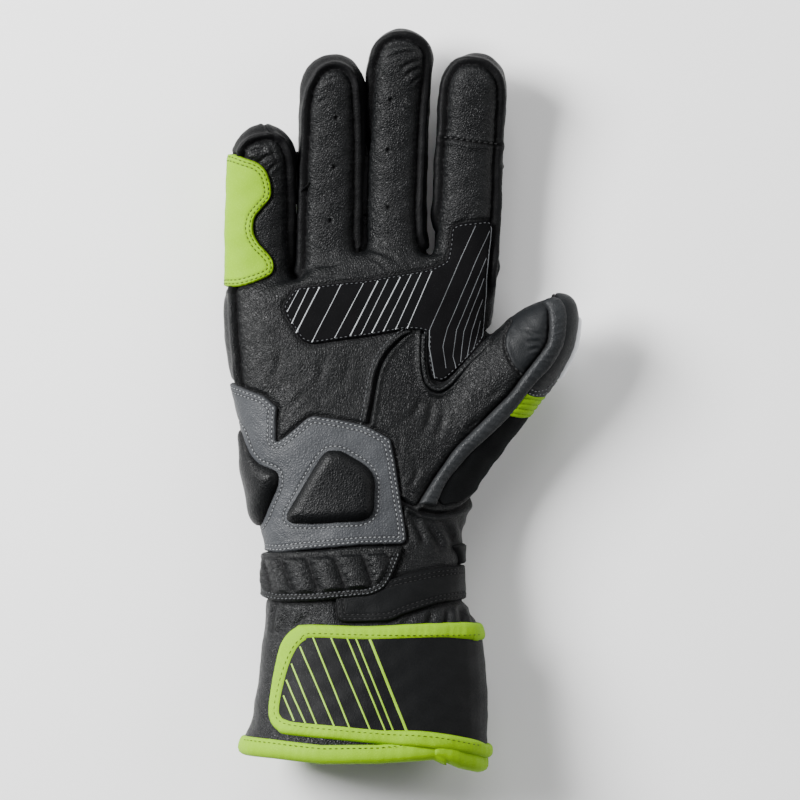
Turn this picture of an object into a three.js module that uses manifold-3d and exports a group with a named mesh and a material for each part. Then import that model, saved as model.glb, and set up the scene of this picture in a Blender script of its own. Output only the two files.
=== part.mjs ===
// A right-hand motorcycle glove with a long cuff, lying palm up on its back. Millimetres.
// +Y runs from the cuff to the fingertips, +X to the thumb side, +Z up out of the palm.
// The origin is on the flat that the back of the hand rests on, under the middle of the palm.
import * as THREE from "three";
import { mergeVertices } from "three/addons/utils/BufferGeometryUtils.js";
import Module from "manifold-3d";

// Driving dimensions
const palmWidth = 110;
const palmLength = 122;
const palmThickness = 42;
const wristWidth = 80;
const wristThickness = 45;
const cuffWidth = 100;
const cuffLength = 84;
const cuffThickness = 60;
const fingerLength = 88.4;
const fingerWidth = 26.8;
const fingerThickness = 23.5;
const fingerRootHeight = 14.5;
const fingertipRise = 9;
const thumbLength = 83.6;
const thumbWidth = 35.2;
const thumbThickness = 32;
const thumbBaseHeight = 21;
const thumbTipRise = 9;
const leather = 2;
const patchThickness = 1.2;
const padThickness = 3.2;
const padCrown = 1.4;
const padCrownInset = 3;
const ribHeight = 1.3;
const strapThickness = 1.6;
const bindingThickness = 1.9;
const bindingDepth = 5.6;
const flapThickness = 1.5;
const guardThickness = 2.2;
const seamRim = 4;
const clearance = 0.3;

// Sections: how many corners a ring has
const bodySides = 20;
const fingerSides = 12;
const thumbSides = 12;

// A table is its column names and its rows
const table = (columns, rows) =>
  rows.map((row) => Object.fromEntries(columns.map((name, i) => [name, row[i]])));

// Body of the hand: along is a share of the palm length from the origin, or in a wrist or cuff row
// of the cuff length down from the wrist line. Left and right are shares of that zone's width,
// bottom and top of its thickness.
const wristAlong = -0.508;
const bodySections = table(
  ["zone", "along", "left", "right", "bottom", "top", "roundness"],
  [
    ["palm", 0.545, -0.64, 0.364, 0.03, 0.66, 2.3],
    ["palm", 0.452, -0.643, 0.36, -0.03, 0.72, 2.4],
    ["palm", 0.328, -0.645, 0.342, -0.04, 0.79, 2.5],
    ["palm", 0.164, -0.634, 0.313, -0.04, 0.84, 2.5],
    ["palm", 0.0, -0.586, 0.276, -0.04, 0.9, 2.5],
    ["palm", -0.164, -0.54, 0.25, -0.04, 0.97, 2.5],
    ["palm", -0.328, -0.512, 0.258, -0.03, 1.0, 2.4],
    ["wrist", -0.129, -0.685, 0.318, 0.03, 0.96, 2.3],
    ["wrist", -0.033, -0.665, 0.305, 0.07, 0.99, 2.2],
    ["wrist", 0.2, -0.67, 0.31, 0.1, 1.06, 2.2],
    ["cuff", 0.319, -0.54, 0.306, 0.07, 0.82, 2.2],
    ["cuff", 0.55, -0.562, 0.33, 0.055, 0.885, 2.2],
    ["cuff", 0.76, -0.59, 0.335, 0.045, 0.945, 2.2],
    ["cuff", 0.881, -0.622, 0.333, 0.037, 0.975, 2.2],
    ["cuff", 1.06, -0.645, 0.333, 0.033, 1.0, 2.2],
  ],
);

// Fingers: length from the web and width as shares of the finger sizes, root place in shares of the
// palm, lean of the tip as a share of that finger's own length
const fingers = table(
  ["name", "length", "width", "across", "along", "lean"],
  [
    ["little", 0.692, 1.0, -0.509, 0.403, 0.035],
    ["ring", 0.946, 0.993, -0.256, 0.449, 0.02],
    ["middle", 1.0, 0.94, -0.016, 0.492, 0.025],
    ["index", 0.91, 1.0, 0.242, 0.479, 0.05],
  ],
).map((row) => ({ ...row, length: row.length * fingerLength, width: row.width * fingerWidth }));
// Root part of every finger: along is a share of the finger's length
const fingerRoot = table(
  ["along", "width", "thickness"],
  [
    [-0.26, 1.01, 1.01],
    [0.33, 1.01, 0.99],
  ],
);
// Tip part of every finger: fromTip is a share of the finger's width
const fingerTip = table(
  ["fromTip", "width", "thickness"],
  [
    [1.0, 1.0, 0.95],
    [0.55, 0.96, 0.9],
    [0.3, 0.86, 0.8],
    [0.12, 0.63, 0.6],
    [0, 0.24, 0.24],
  ],
);

// Thumb: base and direction in shares of the palm, rows along shares of the thumb length
const thumbBase = { across: 0.145, along: -0.213 };
const thumbTurn = { across: 0.48, along: 0.531 };
const thumbSections = table(
  ["along", "shift", "width", "thickness"],
  [
    [-0.2, -0.05, 0.86, 0.86],
    [0.0, -0.05, 0.99, 1.02],
    [0.25, -0.055, 0.98, 1.0],
    [0.5, -0.05, 0.92, 0.92],
    [0.7, -0.04, 0.83, 0.84],
    [0.83, -0.02, 0.66, 0.72],
    [0.93, -0.035, 0.45, 0.52],
    [0.99, -0.03, 0.18, 0.24],
  ],
);

// Outlines on the palm: across is a share of the palm width, along of its length
const columns = ["across", "along"];
const webLine = table(columns, [
  [-0.709, 0.328],
  [-0.371, 0.397],
  [-0.142, 0.485],
  [0.102, 0.472],
  [0.418, 0.452],
]);
const gripOutline = table(columns, [
  [-0.378, 0.367],
  [-0.135, 0.39],
  [0.113, 0.43],
  [0.171, 0.456],
  [0.182, 0.551],
  [0.193, 0.57],
  [0.331, 0.587],
  [0.338, 0.577],
  [0.316, 0.275],
  [0.302, 0.187],
  [0.167, 0.062],
  [0.102, 0.052],
  [0.091, 0.22],
  [0.018, 0.233],
  [-0.218, 0.197],
  [-0.378, 0.203],
  [-0.407, 0.256],
  [-0.422, 0.308],
]);
const heelOutline = table(columns, [
  [-0.68, 0.07],
  [-0.618, 0.059],
  [-0.48, 0.003],
  [-0.44, -0.026],
  [-0.451, -0.125],
  [-0.436, -0.134],
  [-0.375, -0.089],
  [-0.331, -0.056],
  [-0.236, -0.062],
  [-0.135, -0.075],
  [-0.051, -0.115],
  [-0.029, -0.134],
  [-0.018, -0.22],
  [0.0, -0.321],
  [0.022, -0.443],
  [0.007, -0.459],
  [-0.236, -0.475],
  [-0.422, -0.492],
  [-0.516, -0.485],
  [-0.68, -0.46],
]);
const outerPadOutline = table(columns, [
  [-0.572, -0.06],
  [-0.66, -0.09],
  [-0.66, -0.39],
  [-0.505, -0.418],
  [-0.451, -0.328],
  [-0.429, -0.262],
  [-0.451, -0.223],
  [-0.505, -0.207],
  [-0.538, -0.161],
]);
const centrePadOutline = table(columns, [
  [-0.251, -0.157],
  [-0.215, -0.161],
  [-0.145, -0.2],
  [-0.109, -0.233],
  [-0.087, -0.275],
  [-0.095, -0.377],
  [-0.12, -0.4],
  [-0.378, -0.407],
  [-0.407, -0.387],
  [-0.378, -0.321],
  [-0.331, -0.246],
  [-0.284, -0.177],
]);
const weltLine = table(columns, [
  [0.005, 0.212],
  [-0.033, 0.19],
  [-0.087, 0.108],
  [-0.12, 0.013],
  [-0.127, -0.055],
]);
const weltWidth = 2.4;
const ribbedOutline = table(columns, [
  [-0.545, -0.499],
  [0.01, -0.478],
  [-0.011, -0.564],
  [-0.044, -0.63],
  [-0.087, -0.652],
  [-0.273, -0.666],
  [-0.487, -0.656],
  [-0.545, -0.623],
]);
// Each rib runs from its top to its bottom point across the wrist panel
const ribs = table(
  ["top", "bottom"],
  [-0.49, -0.425, -0.358, -0.29, -0.222, -0.153, -0.084].map((across) => [across, across * 0.98 + 0.025]),
);
const ribTopAlong = -0.507;
const ribBottomAlong = -0.63;
const ribWidth = 4.2;

// Outline on the little finger: across is a share of its width, along of its length
const littlePatchOutline = table(columns, [
  [-0.7, 0.84],
  [-0.485, 0.83],
  [-0.306, 0.784],
  [0.037, 0.719],
  [0.157, 0.634],
  [0.172, 0.549],
  [0.067, 0.438],
  [-0.09, 0.335],
  [0.022, 0.229],
  [0.157, 0.157],
  [0.201, 0.072],
  [-0.037, 0.0],
  [-0.351, -0.065],
  [-0.7, -0.059],
]);

// Lines on the thumb: across is a share of its width, along of its length
const touchArc = table(columns, [
  [-0.6, 0.77],
  [-0.436, 0.733],
  [-0.326, 0.653],
  [-0.178, 0.599],
  [0.2, 0.55],
]);
const thumbFrontEdge = table(columns, [
  [-0.199, 0.905],
  [-0.081, 0.867],
  [0.004, 0.816],
  [0.065, 0.769],
  [0.078, 0.656],
  [0.078, 0.544],
  [0.095, 0.438],
  [0.075, 0.228],
  [0.055, 0.049],
  [0.065, -0.064],
  [0.08, -0.16],
]);
const bindingOuterEdge = table(columns, [
  [-0.053, 0.975],
  [0.049, 0.937],
  [0.225, 0.796],
  [0.255, 0.652],
  [0.238, 0.531],
  [0.24, 0.381],
  [0.21, 0.199],
  [0.196, 0.043],
  [0.216, -0.074],
  [0.25, -0.16],
]);
const sidePanelLow = table(columns, [
  [0.238, 0.5],
  [0.33, 0.521],
  [0.393, 0.555],
  [0.441, 0.605],
  [0.6, 0.66],
]);
const accordionLow = table(columns, [
  [0.24, 0.381],
  [0.364, 0.403],
  [0.454, 0.45],
  [0.6, 0.54],
]);
const stretchLow = table(columns, [
  [0.21, -0.03],
  [0.7, -0.03],
]);
const guardOutline = table(columns, [
  [0.1, 0.93],
  [0.7, 0.96],
  [0.7, 0.66],
  [0.1, 0.62],
]);
const accordionRidges = 4;
const ridgeWidth = 1.1;

// Outlines on the wrist and cuff: across is a share of the cuff width, along of the cuff length
// down from the wrist line
const strapOutline = table(columns, [
  [-0.244, 0.122],
  [0.008, 0.081],
  [0.396, 0.032],
  [0.396, 0.206],
  [0.092, 0.248],
  [-0.04, 0.309],
  [-0.244, 0.315],
]);
const strapBackOutline = table(columns, [
  [-0.244, 0.243],
  [-0.244, 0.134],
  [0.396, 0.105],
  [0.396, 0.199],
]);
const keeperOutline = table(columns, [
  [0.22, -0.057],
  [0.33, -0.042],
  [0.33, 0.022],
  [0.22, 0.035],
]);
const flapOuter = table(columns, [
  [-0.348, 0.319],
  [0.312, 0.338],
  [0.44, 0.386],
  [0.44, 0.962],
  [0.348, 0.957],
  [0.216, 0.914],
  [-0.268, 0.867],
  [-0.468, 0.838],
  [-0.52, 0.745],
  [-0.488, 0.505],
  [-0.42, 0.343],
]);
const flapInner = table(columns, [
  [-0.34, 0.39],
  [0.332, 0.405],
  [0.46, 0.433],
  [0.46, 0.9],
  [0.348, 0.895],
  [0.216, 0.833],
  [-0.156, 0.805],
  [-0.432, 0.765],
  [-0.462, 0.7],
  [-0.404, 0.438],
  [-0.376, 0.4],
]);
const cuffTopAlong = 0.205;
const hemLine = table(columns, [
  [-0.8, 0.9],
  [-0.5, 0.962],
  [-0.2, 0.99],
  [0.132, 0.992],
  [0.5, 1.02],
]);

// Solids
const wasm = await Module();
wasm.setup();

function solidOf(geometry) {
  geometry.deleteAttribute("normal");
  geometry.deleteAttribute("uv");
  const merged = mergeVertices(geometry, 1e-4);
  return new wasm.Manifold(
    new wasm.Mesh({
      numProp: 3,
      vertProperties: new Float32Array(merged.attributes.position.array),
      triVerts: new Uint32Array(merged.index.array),
    }),
  );
}

// The largest separate body of a solid, so that a cut leaves no crumbs
function largest(solid) {
  const bodies = solid.decompose();
  return bodies.reduce((best, body) => (body.volume() > best.volume() ? body : best));
}

const join = (solids) => solids.reduce((all, solid) => all.add(solid));

// Closed skin through rings of equally many points, with a fan over each end
function loft(rings) {
  const sides = rings[0].length;
  const points = rings.flat();
  const faces = [];
  for (let row = 0; row + 1 < rings.length; row += 1) {
    for (let i = 0; i < sides; i += 1) {
      const a = row * sides + i;
      const b = row * sides + ((i + 1) % sides);
      faces.push(a, b, b + sides, a, b + sides, a + sides);
    }
  }
  const ends = [
    { ring: rings[0], first: 0, flip: true },
    { ring: rings[rings.length - 1], first: (rings.length - 1) * sides, flip: false },
  ];
  for (const end of ends) {
    const centre = points.length;
    points.push(end.ring.reduce((sum, p) => sum.add(p), new THREE.Vector3()).divideScalar(sides));
    for (let i = 0; i < sides; i += 1) {
      const a = end.first + i;
      const b = end.first + ((i + 1) % sides);
      faces.push(...(end.flip ? [centre, b, a] : [centre, a, b]));
    }
  }
  const geometry = new THREE.BufferGeometry();
  geometry.setAttribute("position", new THREE.Float32BufferAttribute(points.flatMap((p) => p.toArray()), 3));
  geometry.setIndex(faces);
  return solidOf(geometry);
}

// One oval ring: centre, direction across, half width and half height, kept above the floor.
// A ring that is drawn inwards by a wall stays that wall above the floor.
function ovalRing(centre, across, halfWidth, halfHeight, roundness, grow, sides) {
  const floor = Math.max(0, -grow);
  return Array.from({ length: sides }, (_, i) => {
    const angle = (2 * Math.PI * i) / sides;
    const cos = Math.cos(angle);
    const sin = Math.sin(angle);
    const wide = Math.sign(cos) * Math.abs(cos) ** (2 / roundness);
    const high = Math.sign(sin) * Math.abs(sin) ** (2 / roundness);
    const point = centre.clone().addScaledVector(across, wide * Math.max(halfWidth + grow, smallestRing));
    point.z = Math.max(floor, centre.z + high * Math.max(halfHeight + grow, smallestRing));
    return point;
  });
}

// The smallest a ring is drawn in to, and how round and how fast rising fingers and thumb are
const smallestRing = 0.4;
const fingerRoundness = 2.3;
const thumbRoundness = 2.2;
const risePower = 1.5;
const sideways = new THREE.Vector3(1, 0, 0);
const palmPoint = (share) => new THREE.Vector2(share.across * palmWidth, share.along * palmLength);
const cuffPoint = (share) =>
  new THREE.Vector2(share.across * cuffWidth, wristAlong * palmLength - share.along * cuffLength);

const zones = {
  palm: { width: palmWidth, thickness: palmThickness, place: (along) => along * palmLength },
  wrist: { width: wristWidth, thickness: wristThickness, place: (along) => cuffPoint({ across: 0, along }).y },
  cuff: { width: cuffWidth, thickness: cuffThickness, place: (along) => cuffPoint({ across: 0, along }).y },
};

// Hand, wrist and cuff as one form, from the open hem up to the knuckles, grown or shrunk
function body(grow) {
  const rings = bodySections.toReversed().map((row) => {
    const { width, thickness, place } = zones[row.zone];
    const centre = new THREE.Vector3(
      ((row.left + row.right) / 2) * width,
      place(row.along),
      ((row.bottom + row.top) / 2) * thickness,
    );
    const halfWidth = ((row.right - row.left) / 2) * width;
    const halfHeight = ((row.top - row.bottom) / 2) * thickness;
    return ovalRing(centre, sideways, halfWidth, halfHeight, row.roundness, grow, bodySides);
  });
  return loft(rings.map((ring) => ring.toReversed()));
}

function fingerPoint(finger, share) {
  const root = palmPoint(finger);
  const bend = Math.max(0, share.along) ** 2 * finger.lean * finger.length;
  return new THREE.Vector2(root.x + bend + share.across * finger.width, root.y + share.along * finger.length);
}

// One finger as a closed round-tipped form
function fingerForm(finger, grow) {
  const rows = [
    ...fingerRoot,
    ...fingerTip.map((row) => ({ ...row, along: 1 - (row.fromTip * finger.width) / finger.length, tip: true })),
  ];
  const rings = rows.map((row) => {
    const middle = fingerPoint(finger, { across: 0, along: row.along });
    const height = fingerRootHeight + fingertipRise * Math.max(0, row.along) ** risePower;
    const centre = new THREE.Vector3(middle.x, middle.y + (row.tip ? grow : 0), height);
    const halfWidth = (row.width * finger.width) / 2;
    const halfHeight = (row.thickness * fingerThickness) / 2;
    return ovalRing(centre, sideways, halfWidth, halfHeight, fingerRoundness, grow, fingerSides);
  });
  return loft(rings.map((ring) => ring.toReversed()));
}

const thumbStart = palmPoint(thumbBase);
const thumbAlong = new THREE.Vector2(thumbTurn.across * palmWidth, thumbTurn.along * palmLength).normalize();
const thumbAcross = new THREE.Vector2(thumbAlong.y, -thumbAlong.x);
const thumbPoint = (share) =>
  thumbStart
    .clone()
    .addScaledVector(thumbAlong, share.along * thumbLength)
    .addScaledVector(thumbAcross, share.across * thumbWidth);

// The thumb, slanting away from the palm and rising to its tip
function thumbForm(grow) {
  const across = new THREE.Vector3(thumbAcross.x, thumbAcross.y, 0);
  const rings = thumbSections.map((row) => {
    const stretch = row.along > 0.8 ? grow / thumbLength : 0;
    const place = thumbPoint({ across: row.shift, along: row.along + stretch });
    const height = thumbBaseHeight + thumbTipRise * Math.max(0, row.along) ** risePower;
    const centre = new THREE.Vector3(place.x, place.y, height);
    const halfWidth = (row.width * thumbWidth) / 2;
    const halfHeight = (row.thickness * thumbThickness) / 2;
    return ovalRing(centre, across, halfWidth, halfHeight, thumbRoundness, grow, thumbSides);
  });
  return loft(rings.map((ring) => ring.toReversed()));
}

// Upright prism over a plan outline, from one height to another
const tall = palmThickness + cuffThickness + thumbTipRise + padThickness;
function prism(outline, low = -1, high = tall) {
  const shape = new THREE.Shape(THREE.ShapeUtils.isClockWise(outline) ? outline.toReversed() : outline);
  const geometry = new THREE.ExtrudeGeometry(shape, { depth: high - low, bevelEnabled: false, steps: 1 });
  geometry.translate(0, 0, low);
  return solidOf(geometry);
}

// An outline drawn in from its edge by a distance, or out where the distance is below zero
function inset(outline, distance) {
  const ordered = THREE.ShapeUtils.isClockWise(outline) ? outline.toReversed() : outline;
  return ordered.map((point, i) => {
    const before = ordered[(i + ordered.length - 1) % ordered.length];
    const after = ordered[(i + 1) % ordered.length];
    const into = point.clone().sub(before).normalize();
    const out = after.clone().sub(point).normalize();
    const miter = new THREE.Vector2(-into.y - out.y, into.x + out.x);
    const reach = Math.max(miter.lengthSq() / 2, 0.5);
    return point.clone().addScaledVector(miter, distance / reach);
  });
}

// A strip of even width along an open line
function strip(line, width) {
  const sides = [1, -1].map((side) =>
    line.map((point, i) => {
      const before = line[Math.max(i - 1, 0)];
      const after = line[Math.min(i + 1, line.length - 1)];
      const turn = after.clone().sub(before).normalize();
      return new THREE.Vector2(point.x - (turn.y * side * width) / 2, point.y + (turn.x * side * width) / 2);
    }),
  );
  return [...sides[0], ...sides[1].toReversed()];
}

// Band between two open lines that run the same way
const between = (first, second) => [...first, ...second.toReversed()];

// Whole outer form at a height over the leather, and what lies between two heights
const outerForms = new Map();
function outer(grow) {
  if (!outerForms.has(grow)) {
    const web = prism([...webLine.map(palmPoint).map((p) => new THREE.Vector2(p.x, p.y + grow)), ...belowHand]);
    const hand = body(grow).intersect(web);
    outerForms.set(grow, join([hand, ...fingers.map((finger) => fingerForm(finger, grow)), thumbForm(grow)]));
  }
  return outerForms.get(grow);
}
const farDown = -(palmLength + cuffLength);
const belowHand = [new THREE.Vector2(palmWidth, farDown), new THREE.Vector2(-palmWidth, farDown)];
const layer = (low, thickness) => outer(low + thickness).subtract(outer(low));

// Hollow for the hand, open at the hem
const cavityWeb = prism([...webLine.map(palmPoint).map((p) => new THREE.Vector2(p.x, p.y - leather)), ...belowHand]);
const handHollow = body(-leather).intersect(cavityWeb);
const fingerHollows = fingers.map((finger) => fingerForm(finger, -leather));
const thumbHollow = thumbForm(-leather);
const hollow = join([handHollow, ...fingerHollows, thumbHollow]);

// Heights and lines where the shell is split into its leather pieces
const splitHeight = fingerRootHeight;
const cuffSplitHeight = cuffThickness / 2;
const strapTurnHeight = wristThickness / 2;
const gap = clearance / 2;
const hemOutline = hemLine.map(cuffPoint);
const cuffTop = cuffPoint({ across: 0, along: cuffTopAlong }).y;
const wide = palmWidth * 2;
const block = (lowY, highY, lowZ, highZ) =>
  prism(
    [
      new THREE.Vector2(-wide, lowY),
      new THREE.Vector2(wide, lowY),
      new THREE.Vector2(wide, highY),
      new THREE.Vector2(-wide, highY),
    ],
    lowZ,
    highZ,
  );
const fingertipLine = fingers.reduce((far, f) => Math.max(far, palmPoint(f).y + f.length), 0) + palmLength / 4;
const aboveHem = (lift) =>
  prism([
    ...hemOutline.map((p) => new THREE.Vector2(p.x, p.y + lift)),
    new THREE.Vector2(wide, fingertipLine),
    new THREE.Vector2(-wide, fingertipLine),
  ]);

// Palm, back of the hand and cuff
const fingerForms = fingers.map((finger) => fingerForm(finger, clearance));
const bodyShell = body(0)
  .intersect(prism([...webLine.map(palmPoint), ...belowHand]))
  .subtract(hollow)
  .subtract(join([...fingerForms, thumbForm(clearance)]));
const hemLift = clearance + leather;
const handRegion = (low, high) => block(cuffTop + gap, fingertipLine, low, high);
const cuffRegion = (low, high) => block(farDown, cuffTop - gap, low, high).intersect(aboveHem(hemLift));

const pieces = [];
function add(name, solid, colour, roughness, metalness = 0) {
  const mesh = largest(solid).getMesh();
  const geometry = new THREE.BufferGeometry();
  geometry.setAttribute("position", new THREE.Float32BufferAttribute(mesh.vertProperties, 3));
  geometry.setIndex([...mesh.triVerts]);
  geometry.computeVertexNormals();
  const piece = new THREE.Mesh(geometry, new THREE.MeshStandardMaterial({ color: colour, roughness, metalness }));
  piece.name = name;
  pieces.push(piece);
}

const black = 0x1b1c1e;
const grey = 0x5a5e62;
const fluo = 0xc8f514;
const white = 0xd8dadc;
const suede = 0x101114;

add("palm_panel", bodyShell.intersect(handRegion(splitHeight + gap, tall)), black, 0.55);
add("hand_back", bodyShell.intersect(handRegion(-1, splitHeight - gap)), black, 0.55);
add("cuff_front", bodyShell.intersect(cuffRegion(cuffSplitHeight + gap, tall)), black, 0.5);
add("cuff_back", bodyShell.intersect(cuffRegion(-1, cuffSplitHeight - gap)), black, 0.5);

// Fingers: an inset front panel, and a back that wraps over the sides and the tip
// The panel's round top, in shares of its own width back from its end
const panelTopShares = table(columns, [
  [0.5, 0.62],
  [0.4, 0.26],
  [0.16, 0.03],
  [-0.16, 0.03],
  [-0.4, 0.26],
  [-0.5, 0.62],
]);
const panelEndRims = 1.5;
const panelFootAlong = -0.3;
const touchSeamAlong = 0.555;
for (const finger of fingers) {
  const shell = fingerForm(finger, 0).subtract(hollow).subtract(handHollow);
  const panelWidth = finger.width - 2 * seamRim;
  const panelEnd = 1 - (panelEndRims * seamRim) / finger.length;
  const top = panelTopShares.map((row) =>
    fingerPoint(finger, {
      across: (row.across * panelWidth) / finger.width,
      along: panelEnd - (row.along * panelWidth) / finger.length,
    }),
  );
  const foot = [-0.5, 0.5].map((side) =>
    fingerPoint(finger, { across: (side * panelWidth) / finger.width, along: panelFootAlong }),
  );
  const outline = [...top, ...foot];
  const front = shell.intersect(prism(inset(outline, gap), splitHeight + gap));
  const back = shell.subtract(prism(inset(outline, -gap), splitHeight - gap));
  add(`${finger.name}_back`, back, black, 0.5);
  if (finger.name === "index") {
    const seamY = fingerPoint(finger, { across: 0, along: touchSeamAlong }).y;
    add("index_front", front.intersect(block(farDown, seamY - gap, -1, tall)), black, 0.55);
    add("index_touch_tip", front.intersect(block(seamY + gap, fingertipLine, -1, tall)), black, 0.6);
  } else {
    add(`${finger.name}_front`, front, black, 0.55);
  }
}

// Thumb: a front panel up to the binding, its touch tip, and the back with the sides
const thumbShell = thumbForm(0).subtract(hollow).subtract(handHollow);
const frontEdge = thumbFrontEdge.map(thumbPoint);
const outerSide = table(columns, [
  [-0.41, -0.2],
  [-0.41, 0.7],
  [-0.33, 0.84],
]).map(thumbPoint);
const thumbFrontOutline = between(frontEdge, outerSide.toReversed());
const thumbSplit = thumbBaseHeight + thumbTipRise / 2;
const thumbFront = thumbShell.intersect(prism(inset(thumbFrontOutline, gap), thumbSplit + gap));
const thumbBack = thumbShell.subtract(prism(inset(thumbFrontOutline, -gap), thumbSplit - gap));
const touchLine = touchArc.map(thumbPoint);
const thumbEnd = table(columns, [
  [0.6, 1.2],
  [-0.6, 1.2],
]).map(thumbPoint);
const touchRegion = between(touchLine, thumbEnd.toReversed());
add("thumb_back", thumbBack, black, 0.5);
add("thumb_front", thumbFront.subtract(prism(inset(touchRegion, -gap))), black, 0.55);
add("thumb_touch_tip", thumbFront.intersect(prism(inset(touchRegion, gap))), grey, 0.55);

// Patches one layer over the leather
const patch = layer(clearance, patchThickness);
const onPatch = clearance + patchThickness + clearance;
const frontOnly = splitHeight + gap;
const littleFinger = fingers[0];
const patchOutline = (rows, place, low = frontOnly) => patch.intersect(prism(inset(rows.map(place), gap), low));
const sideWrap = splitHeight / 2;
add(
  "little_finger_patch",
  patchOutline(littlePatchOutline, (share) => fingerPoint(littleFinger, share), sideWrap),
  fluo,
  0.45,
);
add("grip_band", patchOutline(gripOutline, palmPoint), suede, 0.9);
add("heel_patch", patchOutline(heelOutline, palmPoint, sideWrap), grey, 0.5);
add("thumb_seam_welt", patch.intersect(prism(strip(weltLine.map(palmPoint), weltWidth), frontOnly)), black, 0.5);

// Raised pads on the heel patch, each with a smaller crown
function pad(rows, low) {
  const outline = rows.map(palmPoint);
  const foot = layer(onPatch, padThickness).intersect(prism(outline, low));
  const crown = layer(onPatch + padThickness / 2, padThickness / 2 + padCrown);
  return foot.add(crown.intersect(prism(inset(outline, padCrownInset), low)));
}
add("outer_heel_pad", pad(outerPadOutline, sideWrap), black, 0.5);
add("centre_heel_pad", pad(centrePadOutline, frontOnly), black, 0.5);

// Wrist: strap against the leather, ribbed panel over it
const strap = layer(clearance, strapThickness);
const strapFront = prism(strapOutline.map(cuffPoint), strapTurnHeight - gap);
const strapRound = prism(strapBackOutline.map(cuffPoint), -1, strapTurnHeight);
add("wrist_strap", strap.intersect(strapFront.add(strapRound)), black, 0.6);
const onStrap = clearance + strapThickness + clearance;
const ribLayer = layer(onStrap + patchThickness / 2, patchThickness / 2 + ribHeight);
const ribbedBase = layer(onStrap, patchThickness).intersect(prism(ribbedOutline.map(palmPoint), splitHeight));
const ribBars = ribs.map((rib) =>
  ribLayer.intersect(
    prism(
      strip(
        [
          palmPoint({ across: rib.top, along: ribTopAlong }),
          palmPoint({ across: rib.bottom, along: ribBottomAlong }),
        ],
        ribWidth,
      ),
      splitHeight,
    ),
  ),
);
add("ribbed_wrist_panel", join([ribbedBase, ...ribBars]), black, 0.5);
add(
  "strap_keeper",
  strap.intersect(prism(keeperOutline.map(cuffPoint), splitHeight)),
  grey,
  0.6,
);

// Thumb trims
const bindingEdge = bindingOuterEdge.map(thumbPoint);
const bindingBand = inset(between(frontEdge, bindingEdge), gap);
add(
  "thumb_binding",
  layer(clearance, bindingThickness).intersect(prism(bindingBand, frontOnly)),
  grey,
  0.5,
);
const sideLimit = thumbBaseHeight / 3;
const besideBinding = bindingEdge.filter((_, i) => bindingOuterEdge[i].along > 0.5);
const sidePanelOuter = table(columns, [
  [-0.05, 1.2],
  [0.7, 1.0],
  [0.7, 0.69],
]).map(thumbPoint);
const sidePanelFoot = sidePanelLow.map(thumbPoint).slice(0, -1).toReversed();
const sidePanelOutline = between(besideBinding, [...sidePanelOuter, ...sidePanelFoot]);
add("thumb_side_panel", patch.intersect(prism(inset(sidePanelOutline, gap), thumbBaseHeight)), grey, 0.5);
const accordionOutline = between(sidePanelLow.map(thumbPoint), accordionLow.map(thumbPoint));
const ridgeLayer = layer(clearance + patchThickness / 2, patchThickness / 2 + ribHeight);
const ridgeBars = Array.from({ length: accordionRidges }, (_, i) => {
  const share = (i + 0.5) / accordionRidges;
  const line = [0, 3].map((k) => {
    const row = sidePanelLow[k];
    const low = accordionLow[Math.min(k, accordionLow.length - 1)];
    return thumbPoint({
      across: row.across + share * (low.across - row.across) + 0.02,
      along: row.along + share * (low.along - row.along),
    });
  });
  return ridgeLayer.intersect(prism(strip(line, ridgeWidth), sideLimit));
});
const accordionArea = prism(inset(accordionOutline, gap), sideLimit);
add("thumb_accordion", join([patch, ...ridgeBars]).intersect(accordionArea), fluo, 0.45);
const stretchOutline = between(accordionLow.map(thumbPoint), stretchLow.map(thumbPoint));
add("thumb_stretch_panel", patch.intersect(prism(inset(stretchOutline, gap), sideLimit)), black, 0.8);
add(
  "thumb_guard",
  layer(clearance, guardThickness).intersect(
    prism(guardOutline.map(thumbPoint), sideLimit, thumbBaseHeight - clearance),
  ),
  white,
  0.4,
);

// Cuff: closure flap with its binding, and the hem binding round the open end
const flapEdge = flapOuter.map(cuffPoint);
const flapField = flapInner.map(cuffPoint);
const flapLow = cuffThickness / 4;
const flapSolid = layer(clearance, flapThickness).intersect(prism(inset(flapField, gap), flapLow));
const flapRing = prism(flapEdge, flapLow).subtract(prism(inset(flapField, -gap), flapLow - 1));
add("closure_flap", flapSolid.intersect(prism(flapEdge, flapLow)), black, 0.6);
add("flap_binding", layer(clearance, bindingThickness).intersect(flapRing), fluo, 0.45);
const hemSleeve = body(bindingThickness).subtract(body(-leather - bindingThickness));
const hemBand = prism([
  ...hemOutline,
  ...hemOutline.map((p) => new THREE.Vector2(p.x, p.y + bindingDepth)).toReversed(),
]);
const hemSlot = body(clearance).subtract(body(-leather - clearance)).intersect(aboveHem(leather));
const flapRoom = layer(0, bindingThickness + clearance).intersect(prism(inset(flapEdge, -clearance), flapLow - clearance));
add("hem_binding", hemSleeve.intersect(hemBand).subtract(hemSlot).subtract(flapRoom), fluo, 0.45);

const glove = new THREE.Group();
glove.add(...pieces);
export default glove;
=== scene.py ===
# %% [markdown]
# # A motorcycle glove, lying palm up
#
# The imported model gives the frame: every piece of leather has its real size and place there, as a
# plain faceted wall. This script gives each of them its true surface: one smooth hand form is
# worked out as a formula, its skin is cut along the seams into panels, and patches, pads,
# bindings, straps and stitches are laid on that skin.

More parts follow.
